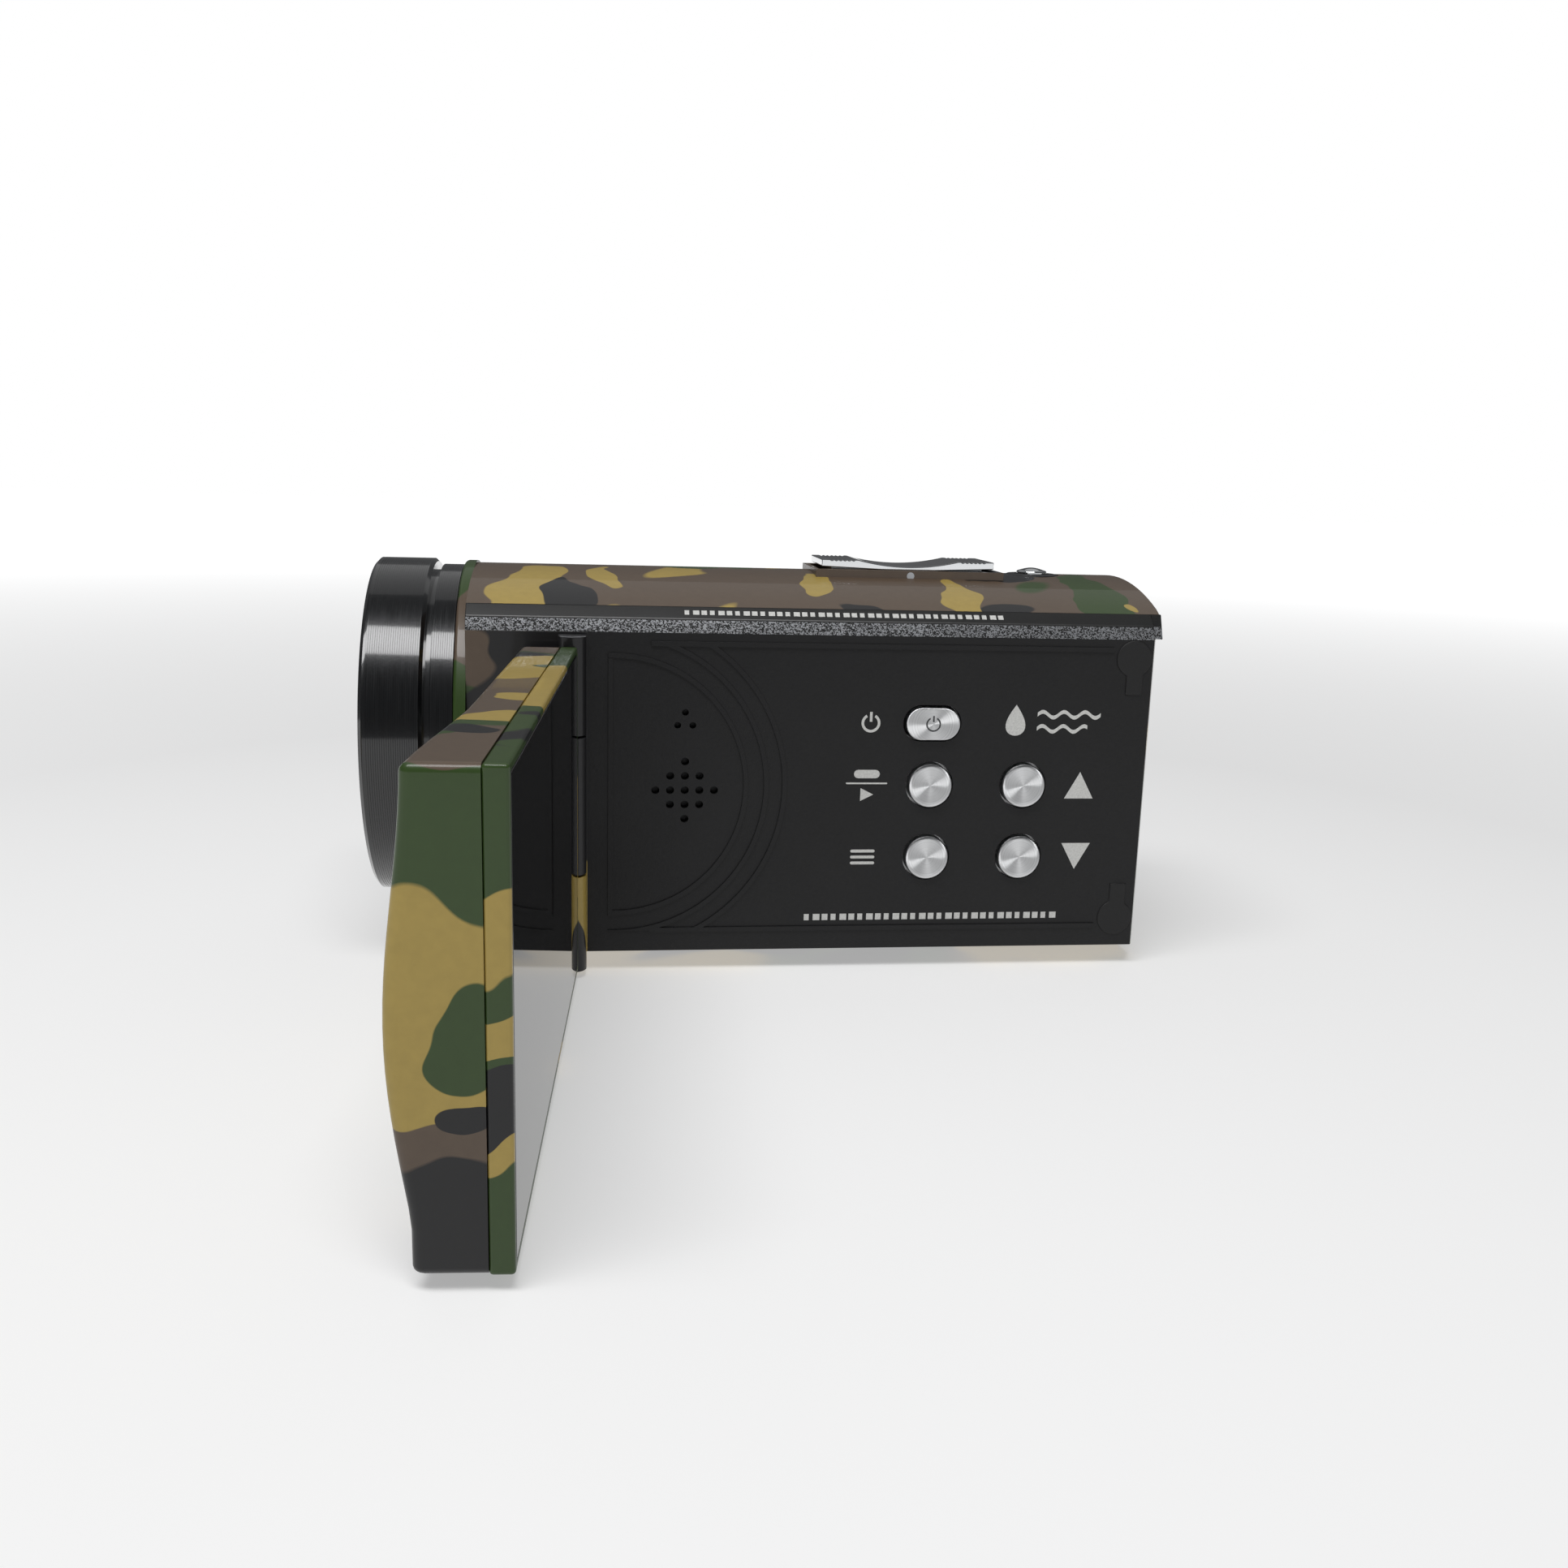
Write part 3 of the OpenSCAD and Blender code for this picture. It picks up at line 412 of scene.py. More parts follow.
def glassy(name, code, roughness, coat=0.0, tint=None):
    """Coated glass over a dark ground: a mirror-like face with faint wipe marks."""
    material, tree = new_material(name)
    place = add(tree, "ShaderNodeTexCoord").outputs["Object"]
    smears = add(tree, "ShaderNodeTexNoise", {"Vector": place, "Scale": 60, "Detail": 6, "Distortion": 1.5})
    rough = add(tree, "ShaderNodeMapRange", {"Value": smears.outputs["Fac"], "From Min": 0.45,
                                             "From Max": 0.8, "To Min": roughness,
                                             "To Max": roughness + 0.05})
    inputs = {"Base_Color": linear(code), "Roughness": rough.outputs["Result"], "Coat_Weight": coat}
    if tint:
        # the anti-glare coating turns from one tint to the other at a glance
        facing = add(tree, "ShaderNodeLayerWeight", {"Blend": 0.35}).outputs["Facing"]
        inputs["Specular_Tint"] = laid_over(tree, linear(tint[0]), linear(tint[1]), facing)
    close_material(tree, **inputs)
    return material


def circuit_board(name):
    """Glass-fibre board with green solder mask: copper tracks 0.6 mm apart show through as lighter lines."""
    material, tree = new_material(name)
    place = add(tree, "ShaderNodeTexCoord").outputs["Object"]
    tracks = add(tree, "ShaderNodeTexBrick", {"Vector": place, "Scale": 250, "Mortar Size": 0.06,
                                              "Color1": linear("#1F4D33"), "Color2": linear("#24573A"),
                                              "Mortar": linear("#3F7A4F")})
    bump = add(tree, "ShaderNodeBump", {"Height": tracks.outputs["Fac"], "Strength": 0.3,
                                        "Distance": 0.03 * MM})
    close_material(tree, Base_Color=tracks.outputs["Color"], Roughness=0.35, Normal=bump.outputs["Normal"])
    return material


# ---------------------------------------------------------------- pieces

def softened(node, body, material, width, segments=2, test=None):
    """A carried-over shape with its moulded or machined edges rounded, in place of its CAD node."""
    bm = round_edges(merged(node), width, segments, test=test)
    return hand_over(bm, node + "_finished", body, [material], [node])


# patch layers: colour, patches to a metre, share left bare, lean along X, Y and Z
MIXED = (("green", 34, 0.49, (0, 0, 0)), ("tan", 38, 0.56, (0, 0, 0)), ("dark", 44, 0.53, (0, 0, 2)))
CROWN = (("green", 36, 0.67, (1.5, 0, 0)), ("tan", 42, 0.71, (0, 0, 0)), ("dark", 50, 0.67, (0, 0, 0)))
COLLAR = (("dark", 40, 0.53, (0, 0, 0)), ("brown", 44, 0.66, (0, 0, 0)))
RIM = (("tan", 40, 0.56, (0, 0, 0)), ("brown", 44, 0.62, (0, 0, 0)), ("dark", 50, 0.6, (0, 0, 0)))
COVER = (("tan", 40, 0.53, (0, 0, -2)), ("brown", 44, 0.58, (0, 0, 0)), ("dark", 44, 0.6, (0, 0, -2)))

# larger patches in millimetres: colour, middle, half sizes
CROWN_BLOTS = (("tan", (-35, -16, 57), (5.5, 14, 7)), ("dark", (-28.5, -18, 55), (4.2, 9, 3.2)),
               ("tan", (-22.5, -8, 60), (2.6, 6, 2)), ("tan", (10.5, -13, 58.5), (2.8, 7, 2.4)),
               ("dark", (17.5, -18, 54.5), (6, 8, 2.8)), ("tan", (31, -15, 57), (3.4, 12, 4)),
               ("dark", (41, -4, 60), (6, 6, 2)), ("green", (54.5, -14, 56), (4, 16, 7)),
               ("tan", (58.5, -18, 54), (1.6, 5, 2.4)), ("green", (-8, 2, 60), (9, 7, 3)))
# the same, with the middles measured as screen_place does
COVER_BLOTS = (("green", (86, -6, 43), (14, 9, 9)), ("tan", (86, -8, 24.5), (15, 12, 12.5)),
               ("brown", (86, -6, 13.5), (16, 12, 4)), ("dark", (86, -6, 3), (16, 12, 9.4)),
               ("green", (86, -3, 25.5), (4.2, 12, 4.6)), ("dark", (86, -3.4, 17.6), (3, 10, 1.9)),
               ("brown", (78, -6, 51), (16, 12, 2.6)), ("dark", (70, -9, 51), (6, 4.5, 3)),
               ("brown", (54, -9, 51), (8, 8, 3)), ("tan", (49, -4, 51), (5, 3, 3)),
               ("tan", (24, -5, 51), (12, 10, 4)))
RIM_BLOTS = (("green", (86, 0, 45), (9, 14, 7)), ("tan", (86, 0, 34), (9, 14, 5)),
             ("tan", (86, 0, 24), (9, 14, 2.4)), ("dark", (86, 0, 17.2), (9, 14, 3.4)),
             ("tan", (86, 0, 13), (9, 14, 1.5)), ("green", (86, 0, 6.6), (9, 14, 5.2)))


def blots_at(blots, place):
    """The same patches in metres, with their middles put where place says."""
    return [(colour, place(*centre) * MM, [v * MM for v in half]) for colour, centre, half in blots]


def on_screen(out, facing, up):
    """A place on the open screen, all in millimetres."""
    return screen_place(out * MM, facing * MM, up * MM) / MM


def on_case(x, y, z):
    """A place on the case, all in millimetres."""
    return Vector((x, y, z))


class OBJECT_OT_camcorder_case(bpy.types.Operator):
    """Case mouldings: side shells, crown, collar, trim, rear door and base"""
    bl_idname = "object.camcorder_case"
    bl_label = "Case"

    def execute(self, context):
        case = context.scene.camcorder_case
        camo = camouflage(case, "Lacquered camouflage ABS", "brown", MIXED)
        lid = camouflage(case, "Lacquered camouflage ABS, crown", "brown", CROWN,
                         blots=blots_at(CROWN_BLOTS, on_case))
        small = camouflage(case, "Lacquered camouflage ABS, small mouldings", "brown", MIXED,
                           (0.31, 0.9, 0.13))
        trim = textured("Metal-flake black ABS", "#1E1E1E", 0.16 * MM, 0.36, 0.15, 0.03, flakes=0.6)
        plastic = textured("Moulded black ABS", "#1B1B1D", 0.25 * MM, 0.42, 0.35)
        softened("left_shell", "case", camo, case.edge)
        softened("right_shell", "case", camo, case.edge)
        crown = round_edges(merged("top_shell"), case.rear_round, 5, test=self.at_rear)
        round_edges(crown, case.edge, 2, least=40.0)
        hand_over(crown, "top_shell_finished", "case", [lid], ["top_shell"])
        softened("side_trim", "case", trim, 0.15 * MM)
        softened("rear_door", "rear_door", small, case.edge * 1.4, 3)
        softened("door_latch", "door_latch", plastic, 0.12 * MM)
        self.collar(camouflage(case, "Lacquered camouflage ABS, collar", "green", COLLAR))
        paint("door_seal", textured("Moulded silicone", "#202022", 0.4 * MM, 0.6))
        return {"FINISHED"}

    def at_rear(self, a, b):
        """Whether an edge lies along the crown's outer rear rim."""
        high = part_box("top_shell")[1]
        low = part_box("side_trim")[1].z - 0.1 * MM
        return min(a.x, b.x) > high.x - 0.1 * MM and min(a.z, b.z) > low and abs(a.z - b.z) < 2 * MM

    def collar(self, camo):
        """Round collar between the case and the barrel."""
        low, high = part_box("front_collar")
        outer = (high.z - low.z) / 2
        inner = (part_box("lens_barrel")[1].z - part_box("lens_barrel")[0].z) / 2 - 3.4 * MM
        depth, r = high.x - low.x, 0.55 * MM
        arc = [(depth / 2 - r + r * math.sin(a), outer - r + r * math.cos(a)) for a in
               [math.radians(15 * i) for i in range(7)]]
        centre = Vector(((low.x + high.x) / 2, LENS_AXIS.y, LENS_AXIS.z))
        outline = [(-depth / 2, inner), (-depth / 2, outer), *arc, (depth / 2, inner)]
        bm = spun(outline, centre, LENS, (0, 0, 1))
        hand_over(bm, "front_collar_turned", "case", [camo], ["front_collar"])


class OBJECT_OT_camcorder_lens(bpy.types.Operator):
    """Lens: barrel, ring, face plate and glass, turned about the lens axis"""
    bl_idname = "object.camcorder_lens"
    bl_label = "Lens"

    def execute(self, context):
        lens = context.scene.camcorder_lens
        metal_ring = anodised(lens, "Turned black anodised aluminium")
        plastic = textured("Moulded matt black polycarbonate", "#141416", 0.3 * MM, 0.5, 0.3)
        glass = glassy("Coated lens glass", "#07090D", 0.01, 0.6, ("#5E8F9E", "#7C5E9E"))
        self.turned_tube("lens_front_ring", lens, metal_ring, 3.6 * MM, lens.chamfer)
        self.turned_tube("lens_barrel", lens, metal_ring, 6 * MM, 0.15 * MM)
        self.face_plate(plastic)
        self.glass(glass)
        paint("lens_cell", plastic)
        paint("lens_elements", glass)
        return {"FINISHED"}

    def turned_tube(self, node, lens, material, wall, chamfer):
        """A tube whose outside is cut with fine grooves all along."""
        low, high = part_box(node)
        radius = (high.z - low.z) / 2
        start, end = -high.x, -low.x
        if node == "lens_barrel":
            start = -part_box("front_collar")[0].x
        # the front ring has an inner step, the barrel an undercut below the ring
        outline = [(start, radius - wall), (start, radius - chamfer)]
        count = int((end - start - 2 * chamfer) / lens.groove)
        for i in range(count):
            along = start + chamfer + i * lens.groove
            bottom = radius - 0.07 * MM
            outline += [(along, radius), (along + 0.72 * lens.groove, radius),
                        (along + 0.82 * lens.groove, bottom), (along + 0.95 * lens.groove, bottom)]
        outline += [(end - chamfer, radius), (end, radius - chamfer)]
        if node == "lens_barrel":
            outline = [p for p in outline if p[0] < end - 0.9 * MM]
            outline += [(end - 0.85 * MM, radius - 0.9 * MM), (end, radius - 0.9 * MM),
                        (end, radius - wall)]
        else:
            step = -5.4 * MM
            outline += [(end, radius - wall + 0.3 * MM), (end - 0.3 * MM, radius - wall),
                        (end + step, radius - wall), (end + step, radius - 7 * MM),
                        (start, radius - 7 * MM)]
            outline = outline[1:]
        centre = Vector((0, LENS_AXIS.y, LENS_AXIS.z))
        hand_over(spun(outline, centre, LENS, (0, 0, 1), 160), node + "_turned", "case",
                  [material], [node], sharp=25)

    def face_plate(self, material):
        """Plate around the front glass: concentric steps that fall towards the glass."""
        low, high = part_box("lens_bezel")
        radius = (high.z - low.z) / 2
        glass_radius = (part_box("front_glass")[1].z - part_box("front_glass")[0].z) / 2
        front, back = -low.x, -high.x
        outline = [(back, glass_radius + 2 * MM), (back, radius), (front, radius),
                   (front, radius - 1.2 * MM)]
        steps = 7
        for i in range(steps):
            r = radius - 1.2 * MM - i * (radius - glass_radius - 2.4 * MM) / steps
            level = front - (0.18 * i + 0.18) * MM
            outline += [(level, r - 0.1 * MM), (level, r - 0.9 * MM)]
        outline += [(front - 1.45 * MM, glass_radius), (front - 1.6 * MM, glass_radius + 2 * MM)]
        centre = Vector((0, LENS_AXIS.y, LENS_AXIS.z))
        hand_over(spun(outline, centre, LENS, (0, 0, 1)), "lens_face_plate", "case",
                  [material], ["lens_bezel"])

    def glass(self, material):
        """Front glass with a domed face."""
        low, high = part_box("front_glass")
        radius = (high.z - low.z) / 2
        rise = 1.1 * MM
        ball = (radius * radius + rise * rise) / (2 * rise)
        half = math.asin(radius / ball)
        front = -low.x + rise
        outline = [(-high.x, 0), (-high.x, radius)]
        angles = [half * (1 - i / 12) for i in range(13)]
        outline += [(front - ball + ball * math.cos(a), ball * math.sin(a)) for a in angles]
        centre = Vector((0, LENS_AXIS.y, LENS_AXIS.z))
        hand_over(spun(outline, centre, LENS, (0, 0, 1)), "front_glass_domed", "case",
                  [material], ["front_glass"])


class OBJECT_OT_camcorder_screen(bpy.types.Operator):
    """Screen: curved cover, frame, glass and hinge block"""
    bl_idname = "object.camcorder_screen"
    bl_label = "Screen"

    def execute(self, context):
        case, screen = context.scene.camcorder_case, context.scene.camcorder_screen
        cover = camouflage(case, "Lacquered camouflage ABS, screen cover", "green", COVER,
                           (0.05, 0.42, 0.77), blots_at(COVER_BLOTS, on_screen))
        rim = camouflage(case, "Lacquered camouflage ABS, screen frame", "green", RIM, (0.63, 0.11, 0.29),
                         blots_at(RIM_BLOTS, on_screen))
        plastic = textured("Moulded black acetal", "#1A1A1C", 0.25 * MM, 0.4, 0.3)
        self.cover(screen, cover)
        softened("screen_bezel", "screen", rim, 0.45 * MM, 3)
        glass = glassy("Hard-coated display glass", "#050607", 0.008)
        softened("screen_glass", "screen", glass, 0.2 * MM)
        softened("hinge_block", "hinge_arm", plastic, 0.3 * MM)
        return {"FINISHED"}

    def cover(self, screen, material):
        """Outer shell of the screen housing: a rounded box drawn out into a flare and a bulge."""
        low_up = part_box("screen_bezel")[0].z
        length = 84 * MM
        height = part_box("screen_bezel")[1].z - low_up
        seam = 1.6 * MM
        bm = bmesh.new()
        bmesh.ops.create_cube(bm, size=1.0)
        start, wall = 2.4 * MM, 1.2 * MM
        # the frame and the seam take 2.5 mm of the housing's thickness
        depth = screen.edge_thickness - 2.5 * MM
        bmesh.ops.scale(bm, vec=(length, depth, height), verts=bm.verts)
        bmesh.ops.translate(bm, vec=(start + length / 2, -seam - depth / 2, low_up + height / 2),
                            verts=bm.verts)
        round_edges(bm, screen.corner, 4, test=lambda a, b: min(a.y, b.y) < -seam - depth + 0.1 * MM)
        for axis, first, span, cuts in ((0, start, length, 14), (2, low_up, height, 22)):
            normal = [1.0 if i == axis else 0.0 for i in range(3)]
            for i in range(1, cuts):
                point = [n * (first + span * i / cuts) for n in normal]
                bmesh.ops.bisect_plane(bm, geom=bm.verts[:] + bm.edges[:] + bm.faces[:], plane_co=point,
                                       plane_no=normal, dist=0.001 * MM)
        for v in bm.verts:
            share = min(1.0, max(0.0, (-seam - v.co.y) / depth))
            v.co.y -= share * self.swell(screen, (v.co.x - start) / length, (v.co.z - low_up) / MM)
        inner = -seam - 0.01 * MM
        open_side = [f for f in bm.faces if f.normal.y > 0.99 and f.calc_center_median().y > inner]
        bmesh.ops.delete(bm, geom=open_side, context="FACES")
        bmesh.ops.recalc_face_normals(bm, faces=bm.faces)
        bmesh.ops.solidify(bm, geom=bm.faces[:], thickness=wall)
        turn = Matrix.Rotation(math.atan2(SCREEN_OUT.y, SCREEN_OUT.x), 4, "Z")
        bmesh.ops.transform(bm, matrix=Matrix.Translation((HINGE.x, HINGE.y, 0)) @ turn, verts=bm.verts)
        hand_over(bm, "screen_cover_moulded", "screen", [material], ["screen_cover"])

    def swell(self, screen, along, up):
        """How far the cover stands out beyond its flat edge thickness, by place along and up the housing."""
        grow = max(0.0, (along - 0.6) / 0.4)
        flare = screen.flare * grow * grow * (3 - 2 * grow)
        middle_up, above, below = 23.5, 26.0, 18.5
        side = (up - middle_up) / (above if up > middle_up else below)
        hump = max(0.0, math.cos(math.pi / 2 * max(-1.0, min(1.0, side))))
        return flare + screen.bulge * hump ** (2.0 if side > 0 else 1.1) * (0.25 + 0.75 * along)


class OBJECT_OT_camcorder_controls(bpy.types.Operator):
    """Control panel with its bumpers, buttons and printed marks"""
    bl_idname = "object.camcorder_controls"
    bl_label = "Controls"

    def execute(self, context):
        panel = context.scene.camcorder_panel
        black = textured("Spark-textured black ABS", panel.black, panel.grain, 0.44, 0.5, shine=0.32)
        rubber = textured("Moulded rubber", "#101011", 0.3 * MM, 0.62, 0.4)
        softened("control_panel", "case", black, 0.2 * MM)
        softened("panel_bumpers", "case", rubber, 0.18 * MM, 3)
        for name in ("mode", "up", "menu", "down"):
            self.round_button(name + "_button")
        self.power_button()
        self.marks(panel)
        return {"FINISHED"}

    def round_button(self, node):
        """Cap with a chamfered rim, a faced and slightly dished top, and its retaining flange."""
        low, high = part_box(node)
        centre = (low + high) / 2
        flange = (high.z - low.z) / 2
        r, thick, front = flange - 0.9 * MM, 0.5 * MM, high.y - low.y
        rim, dish = 0.28 * MM, 0.16 * MM
        outline = [(0, 0), (0, flange), (thick, flange), (thick, r), (front - rim, r),
                   (front - 0.06 * MM, r - 0.14 * MM), (front, r - rim), (front, r - 2 * rim)]
        outline += [(front - dish * math.sin(math.pi / 2 * i / 8),
                     (r - 2 * rim) * (1 - i / 8)) for i in range(1, 9)]
        start = Vector((centre.x, high.y, centre.z))
        metal_cap = spun_metal("Faced aluminium, " + node.replace("_", " "), start)
        hand_over(spun(outline, start, SIDE, (0, 0, 1), 96), node + "_faced", node,
                  [metal_cap], [node])

    def power_button(self):
        """Long cap with a raised rim and the stand-by ring pressed into it."""
        low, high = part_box("power_button")
        centre = (low + high) / 2
        cap = spun_metal("Brushed aluminium, power button", Vector((centre.x, high.y, centre.z)), "#F0F1F2")
        softened("power_button", "power_button", cap, 0.25 * MM, 3)
        ink = textured("Pressed mark", "#3A3B3D", 0.2 * MM, 0.5)
        at = Vector((centre.x, low.y, centre.z))
        section = [(0.0, 1.15 * MM), (0.05 * MM, 1.1 * MM), (0.05 * MM, 0.95 * MM), (0.0, 0.9 * MM)]
        bm = bmesh.new()
        verts = [bm.verts.new(at + Vector(SIDE) * a + Vector((-0.5, 0, 0.866)) * r) for a, r in section]
        edges = [bm.edges.new(pair) for pair in zip(verts, verts[1:] + verts[:1])]
        bmesh.ops.spin(bm, geom=verts + edges, cent=at, axis=SIDE, angle=math.radians(300), steps=40)
        bmesh.ops.holes_fill(bm, edges=[e for e in bm.edges if e.is_boundary])
        bmesh.ops.recalc_face_normals(bm, faces=bm.faces)
        hand_over(bm, "power_ring", "power_button", [ink])
        x, z = centre.x / MM, centre.z / MM
        self.printed("power_bar", [self.block(x - 0.12, x + 0.12, z + 0.35, z + 1.3)], ink, "power_button",
                     low.y, 0.05 * MM)

    def printed(self, name, outlines, ink, body="case", face=PANEL_FACE, height=0.03 * MM, turn=None):
        """Printed marks as one piece: flat outlines, in millimetres along X and Z, as thick as their ink.

        A turn lays them on a slanting face instead."""
        bm = bmesh.new()
        for outline in outlines:
            flat = bm.faces.new([bm.verts.new(Vector((x * MM, face, z * MM))) for x, z in outline])
            made = bmesh.ops.extrude_face_region(bm, geom=[flat])
            top = [v for v in made["geom"] if isinstance(v, bmesh.types.BMVert)]
            bmesh.ops.translate(bm, vec=(0, -height, 0), verts=top)
        if turn:
            bmesh.ops.transform(bm, matrix=turn, verts=bm.verts)
        bmesh.ops.recalc_face_normals(bm, faces=bm.faces)
        return hand_over(bm, name, body, [ink])

    def bar(self, x0, x1, z, height):
        """Outline of a bar with round ends."""
        r = height / 2
        return [(x + r * math.cos(a), z + r * math.sin(a)) for x, turn in ((x1 - r, -90), (x0 + r, 90))
                for a in [math.radians(30 * i + turn) for i in range(7)]]

    def ring(self, x, z, radius, width, start=120, turn=300):
        """Outline of an open ring, drawn out and back."""
        angles = [math.radians(start + turn * i / 24) for i in range(25)]
        out = [(x + (radius + width / 2) * math.cos(a),
                z + (radius + width / 2) * math.sin(a)) for a in angles]
        back = [(x + (radius - width / 2) * math.cos(a),
                 z + (radius - width / 2) * math.sin(a)) for a in angles]
        return out + back[::-1]

    def ticks(self, x0, x1, z, height, pitch):
        """A row of short bars of three lengths."""
        count = int((x1 - x0) / pitch)
        return [self.block(x0 + i * pitch, x0 + (i + (0.55, 0.75, 0.65)[i % 3]) * pitch, z - height / 2,
                           z + height / 2) for i in range(count)]

    def block(self, x0, x1, z0, z1):
        """Outline of a plain rectangle."""
        return [(x0, z0), (x1, z0), (x1, z1), (x0, z1)]

    def marks(self, panel):
        """Plain signs printed beside the buttons, and rows of ticks along the panel and the trim."""
        ink = textured("Screen-printed ink", panel.ink, 0.15 * MM, 0.5, 0.2, 0.01)
        power, mode, menu = middle("power_button"), middle("mode_button"), middle("menu_button")
        up, down = middle("up_button"), middle("down_button")
        x, z = power.x / MM - 9.5, power.z / MM
        signs = {"mark_power": [self.ring(x, z, 1.25, 0.4), self.block(x - 0.2, x + 0.2, z + 0.2, z + 1.7)]}
        x, z = mode.x / MM - 9.8, mode.z / MM
        signs["mark_mode"] = [self.bar(x - 2.0, x + 2.0, z + 1.7, 1.3),
                              self.bar(x - 3.2, x + 3.2, z + 0.25, 0.25),
                              [(x - 0.9, z - 0.5), (x - 0.9, z - 2.5), (x + 1.1, z - 1.5)]]
        x, z = menu.x / MM - 10.0, menu.z / MM
        signs["mark_menu"] = [self.bar(x - 1.9, x + 1.9, z + 0.95 * k, 0.45) for k in (-1, 0, 1)]
        x, z = up.x / MM + 9.1, up.z / MM
        signs["mark_up"] = [[(x - 2.3, z - 2.1), (x + 2.3, z - 2.1), (x, z + 2.1)]]
        x, z = down.x / MM + 9.2, down.z / MM
        signs["mark_down"] = [[(x - 2.3, z + 2.1), (x, z - 2.1), (x + 2.3, z + 2.1)]]
        x, z = up.x / MM - 1.7, power.z / MM + 0.6
        # a water drop with two waves beside it
        angles = [math.radians(12 * i) for i in range(30)]
        widths = [math.sin(t) * (0.5 - 0.5 * math.cos(t)) ** 0.6 for t in angles]
        signs["mark_drop"] = [[(x + 2.1 * w, z + 2.4 * math.cos(t)) for w, t in zip(widths, angles)]]
        steps = [i / 32 for i in range(33)]
        for k, (length, level) in enumerate(((10.0, 0.9), (8.0, -1.3))):
            crest = [(x + 3.4 + length * t,
                      z + level + 0.45 * math.sin(6 * math.pi * t * length / 10)) for t in steps]
            back = [(a, b - 0.3) for a, b in crest[::-1]]
            signs["mark_wave_%d" % (k + 1)] = [[(a, b + 0.3) for a, b in crest] + back]
        low = PANEL_LOW.z / MM + 5.1
        signs["mark_ticks"] = self.ticks(power.x / MM - 18.8, power.x / MM + 23.1, low, 1.0, 1.4)
        for name, outlines in signs.items():
            self.printed(name, outlines, ink, height=panel.ink_height)
        # the row on the matt upper face of the trim, which leans back 48.4 degrees
        lean = Matrix.Rotation(math.radians(-48.4), 4, "X")
        on_trim = Matrix.Translation((0, -22.4 * MM, 54.7 * MM)) @ lean
        self.printed("mark_trim_ticks", self.ticks(-11.6, 38.3, 0.0, 0.85, 1.25), ink, face=0.0,
                     height=panel.ink_height, turn=on_trim)


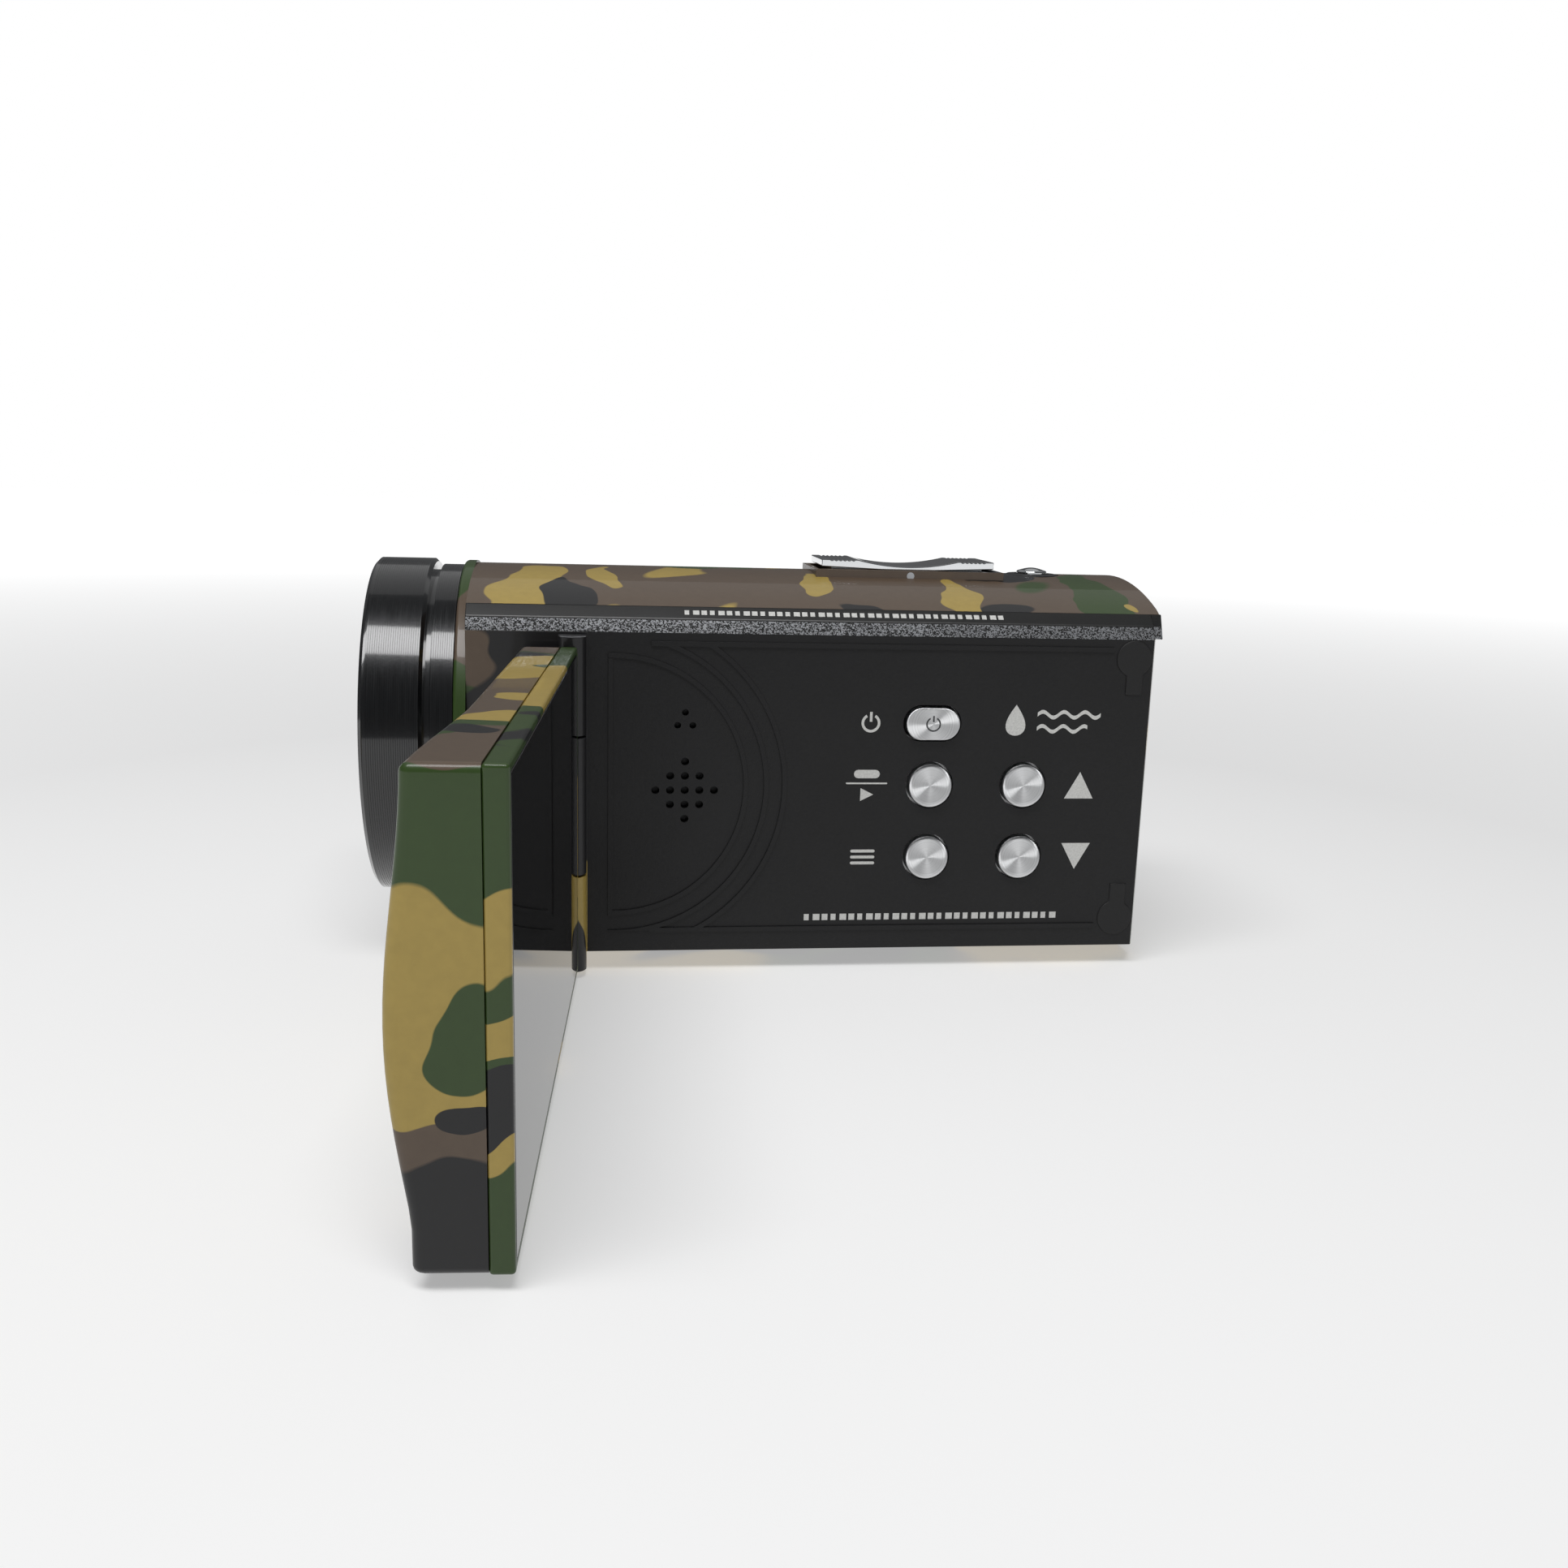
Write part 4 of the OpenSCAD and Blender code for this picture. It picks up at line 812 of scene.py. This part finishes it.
class OBJECT_OT_camcorder_top(bpy.types.Operator):
    """Top and rear controls: zoom rocker on its platform, shutter and record buttons"""
    bl_idname = "object.camcorder_top"
    bl_label = "Top and rear controls"

    def execute(self, context):
        case = context.scene.camcorder_case
        chrome = metal("Chrome-plated ABS", "#DADCDE", 0.06, 120, spread=0.03)
        dark = textured("Moulded black ABS, shutter base", "#161618", 0.25 * MM, 0.35, 0.3)
        camo = camouflage(case, "Lacquered camouflage ABS, zoom platform", "brown", CROWN,
                          (0.23, 0.57, 0.91))
        softened("zoom_platform", "case", camo, 0.2 * MM, 2)
        self.rocker(chrome)
        self.turned("shutter_base", "case", "black_trim", dark, (0, 0, 1), 0.5 * MM, 0.0)
        self.turned("shutter_button", "shutter_button", "chrome_plate", chrome, (0, 0, 1), 0.35 * MM,
                    0.45 * MM)
        red = textured("Moulded red ABS", "#8E1B1B", 0.2 * MM, 0.3, 0.2)
        self.turned("record_button", "record_button", "red_button", red, (1, 0, 0), 0.4 * MM, -0.35 * MM)
        return {"FINISHED"}

    def rocker(self, material):
        """Saddle-shaped cap with knurled ends, on a narrower core."""
        low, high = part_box("zoom_rocker")
        centre, half = (low + high) / 2, (high.x - low.x) / 2
        dip, dip_half = 1.0 * MM, 8.2 * MM
        knurl, pitch, depth = (8.6 * MM, 12.8 * MM), 0.7 * MM, 0.16 * MM
        underside, core_middle = 60.3 * MM, 60.1 * MM
        steps = [half * (i / 90 - 1) for i in range(181)]
        top, under = [], []
        for u in steps:
            z = high.z - dip * max(0.0, 1 - (u / dip_half) ** 2)
            under.append((u, underside + 0.04 * abs(u)))
            if knurl[0] < abs(u) < knurl[1]:
                z -= depth * (0.5 - 0.5 * math.cos(2 * math.pi * (abs(u) - knurl[0]) / pitch))
            top.append((u, z))
        bm = bmesh.new()
        flat = bm.faces.new([bm.verts.new(Vector((centre.x + u, low.y, z))) for u, z in top + under[::-6]])
        made = bmesh.ops.extrude_face_region(bm, geom=[flat])
        far = [v for v in made["geom"] if isinstance(v, bmesh.types.BMVert)]
        bmesh.ops.translate(bm, vec=(0, high.y - low.y, 0), verts=far)
        bmesh.ops.recalc_face_normals(bm, faces=bm.faces)
        core = bmesh.ops.create_cube(bm, size=1.0)["verts"]
        bmesh.ops.scale(bm, vec=(1.75 * half, (high.y - low.y) * 0.84, 1.5 * MM), verts=core)
        bmesh.ops.translate(bm, vec=(centre.x, centre.y, core_middle), verts=core)
        round_edges(bm, 0.2 * MM, 2, least=60.0)
        hand_over(bm, "zoom_rocker_saddle", "zoom_rocker", [material], ["zoom_rocker"])

    def turned(self, node, body, slot, material, axis, rim, dome):
        """A round button or base: rounded rim, and a face that rises or dips by dome."""
        low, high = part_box(node)
        along = Vector(axis)
        flange = (high.y - low.y) / 2
        base = (low + high) / 2 - along * (high - low).dot(along) / 2
        top = (high - low).dot(along)
        if node == "shutter_base":
            hole = 2.6 * MM
            outline = [(0, hole), (0, flange), (top - rim, flange), (top - 0.3 * rim, flange - 0.3 * rim),
                       (top, flange - rim), (top, hole + 0.3 * MM), (top - 0.3 * MM, hole)]
        else:
            r = flange - (1.0 if node == "shutter_button" else 0.9) * MM
            foot = 1.0 * MM if node == "shutter_button" else 0.5 * MM
            edge = top - max(dome, 0.0)
            outline = [(0, 0), (0, flange), (foot, flange), (foot, r)]
            outline += [(edge - rim + rim * math.sin(a), r - rim + rim * math.cos(a))
                        for a in [math.radians(18 * i) for i in range(6)]]
            outline += [(edge + dome * math.sin(math.pi / 2 * i / 8),
                         (r - rim) * (1 - i / 8)) for i in range(1, 9)]
        hand_over(spun(outline, base, axis, (0, 1, 0), 96), node + "_turned", body, [material],
                  [node])


class OBJECT_OT_camcorder_inside(bpy.types.Operator):
    """Inner pieces: boards, battery, slots, pins and fasteners"""
    bl_idname = "object.camcorder_inside"
    bl_label = "Inner pieces"

    def execute(self, context):
        steel = metal("Rolled stainless steel", "#B9BBBE", 0.28, 300, (1, 1, 8))
        brass = metal("Turned brass", "#B8923F", 0.3, 500, (1, 1, 6))
        board = circuit_board("Green solder mask")
        rubber = textured("Silicone mat", "#4A4D52", 0.4 * MM, 0.6)
        plastic = textured("Moulded black ABS, inner", "#1D1D1F", 0.3 * MM, 0.5)
        wrap = textured("Heat-shrunk PVC wrap", "#33405A", 0.5 * MM, 0.3, 0.2)
        slots = {"steel": (steel, ("hinge_pins", "swivel_shaft", "lcd_module", "zoom_pin", "card_slot",
                                   "port_block", "door_pin", "case_screws")),
                 "brass": (brass, ("swivel_bush", "tripod_insert")),
                 "board": (board, ("image_sensor", "button_board", "record_switch", "main_board")),
                 "rubber": (rubber, ("button_mat",)),
                 "black_plastic": (plastic, ("speaker", "microphone")),
                 "battery_wrap": (wrap, ("battery",))}
        for slot, (material, nodes) in slots.items():
            for node in nodes:
                paint(node, material)
        return {"FINISHED"}


class OBJECT_OT_camcorder_stage(bpy.types.Operator):
    """Camera, floor, soft lights and surroundings"""
    bl_idname = "object.camcorder_stage"
    bl_label = "Stage"

    def execute(self, context):
        stage = context.scene.camcorder_stage
        data = bpy.data.cameras.new("Camera")
        data.lens, data.sensor_width = stage.focal_length, 36
        data.clip_start, data.clip_end = 0.01, 20
        camera = bpy.data.objects.new("Camera", data)
        # in front of the open side and just above the crown, looking 12 degrees down
        camera.location = (-0.023718, -0.235297, 0.075143)
        camera.rotation_euler = [math.radians(v) for v in (77.8257, -1.6258, -7.0472)]
        context.scene.collection.objects.link(camera)
        context.scene.camera = camera
        self.floor(context, stage)
        self.soft_box(context, "Key", (-0.1, -0.257, 0.568), (0.0, -0.03, 0.034), 0.5, 0.2,
                      stage.key_power)
        self.soft_box(context, "Overhead", (0.0, 0.38, 0.56), (0.0, -0.02, 0.03), 0.9, 0.5,
                      stage.fill_power)
        self.surroundings(context)
        context.scene.view_settings.view_transform = "Standard"
        return {"FINISHED"}

    def floor(self, context, stage):
        """A pale floor under the camcorder."""
        bm = bmesh.new()
        bmesh.ops.create_grid(bm, x_segments=1, y_segments=1, size=3.0)
        mesh = bpy.data.meshes.new("Floor")
        bm.to_mesh(mesh)
        bm.free()
        floor = bpy.data.objects.new("Floor", mesh)
        floor.location.z = -0.2 * MM
        material, tree = new_material("Matt white paper")
        # light of its own keeps the paper white, more so far off, where the soft boxes don't reach
        place = add(tree, "ShaderNodeTexCoord").outputs["Object"]
        away = add(tree, "ShaderNodeVectorMath", {0: place}, operation="LENGTH")
        glow = add(tree, "ShaderNodeMapRange", {"Value": away.outputs["Value"], "From Min": 0.2,
                                                "From Max": 0.9, "To Min": 0.38, "To Max": 0.95})
        close_material(tree, Base_Color=linear(stage.floor), Roughness=0.9,
                       Emission_Color=linear("#FFFFFF"), Emission_Strength=glow.outputs["Result"])
        mesh.materials.append(material)
        context.scene.collection.objects.link(floor)

    def soft_box(self, context, name, place, aim, width, height, power):
        """One soft rectangular light that looks at a place."""
        data = bpy.data.lights.new(name, "AREA")
        data.shape, data.size, data.size_y, data.energy = "RECTANGLE", width, height, power
        light = bpy.data.objects.new(name, data)
        light.location = place
        light.rotation_euler = (Vector(aim) - Vector(place)).to_track_quat("-Z", "Y").to_euler()
        context.scene.collection.objects.link(light)

    def surroundings(self, context):
        """White to the camera, and a dimmer room in the reflections."""
        world = bpy.data.worlds.new("Studio")
        world.use_nodes = True
        tree = world.node_tree
        tree.nodes.clear()
        seen = add(tree, "ShaderNodeBackground", {"Color": (1, 1, 1, 1), "Strength": 1.0})
        room = add(tree, "ShaderNodeBackground", {"Color": linear("#D8DADD"), "Strength": 0.15})
        path = add(tree, "ShaderNodeLightPath")
        mix = add(tree, "ShaderNodeMixShader", {0: path.outputs["Is Camera Ray"], 1: room.outputs[0],
                                                2: seen.outputs[0]})
        add(tree, "ShaderNodeOutputWorld", {"Surface": mix.outputs[0]})
        context.scene.world = world


class VIEW3D_PT_camcorder(bpy.types.Panel):
    """Lists the camcorder's pieces"""
    bl_label = "Camcorder"
    bl_space_type = "VIEW_3D"
    bl_region_type = "UI"
    bl_category = "Camcorder"

    def draw(self, context):
        for operator in OPERATORS:
            self.layout.operator(operator.bl_idname)


GROUPS = {"camcorder_case": CaseSettings, "camcorder_panel": PanelSettings, "camcorder_lens": LensSettings,
          "camcorder_screen": ScreenSettings, "camcorder_stage": StageSettings}
OPERATORS = (OBJECT_OT_camcorder_stage, OBJECT_OT_camcorder_case, OBJECT_OT_camcorder_lens,
             OBJECT_OT_camcorder_screen, OBJECT_OT_camcorder_controls, OBJECT_OT_camcorder_top,
             OBJECT_OT_camcorder_inside)
CLASSES = (*GROUPS.values(), *OPERATORS, VIEW3D_PT_camcorder)


def register():
    for cls in CLASSES:
        bpy.utils.register_class(cls)
    for name, group in GROUPS.items():
        setattr(bpy.types.Scene, name, bpy.props.PointerProperty(type=group))


def unregister():
    for name in GROUPS:
        delattr(bpy.types.Scene, name)
    for cls in reversed(CLASSES):
        bpy.utils.unregister_class(cls)


def main():
    register()
    for operator in OPERATORS:
        group, name = operator.bl_idname.split(".")
        getattr(getattr(bpy.ops, group), name)()


if __name__ == "__main__":
    main()
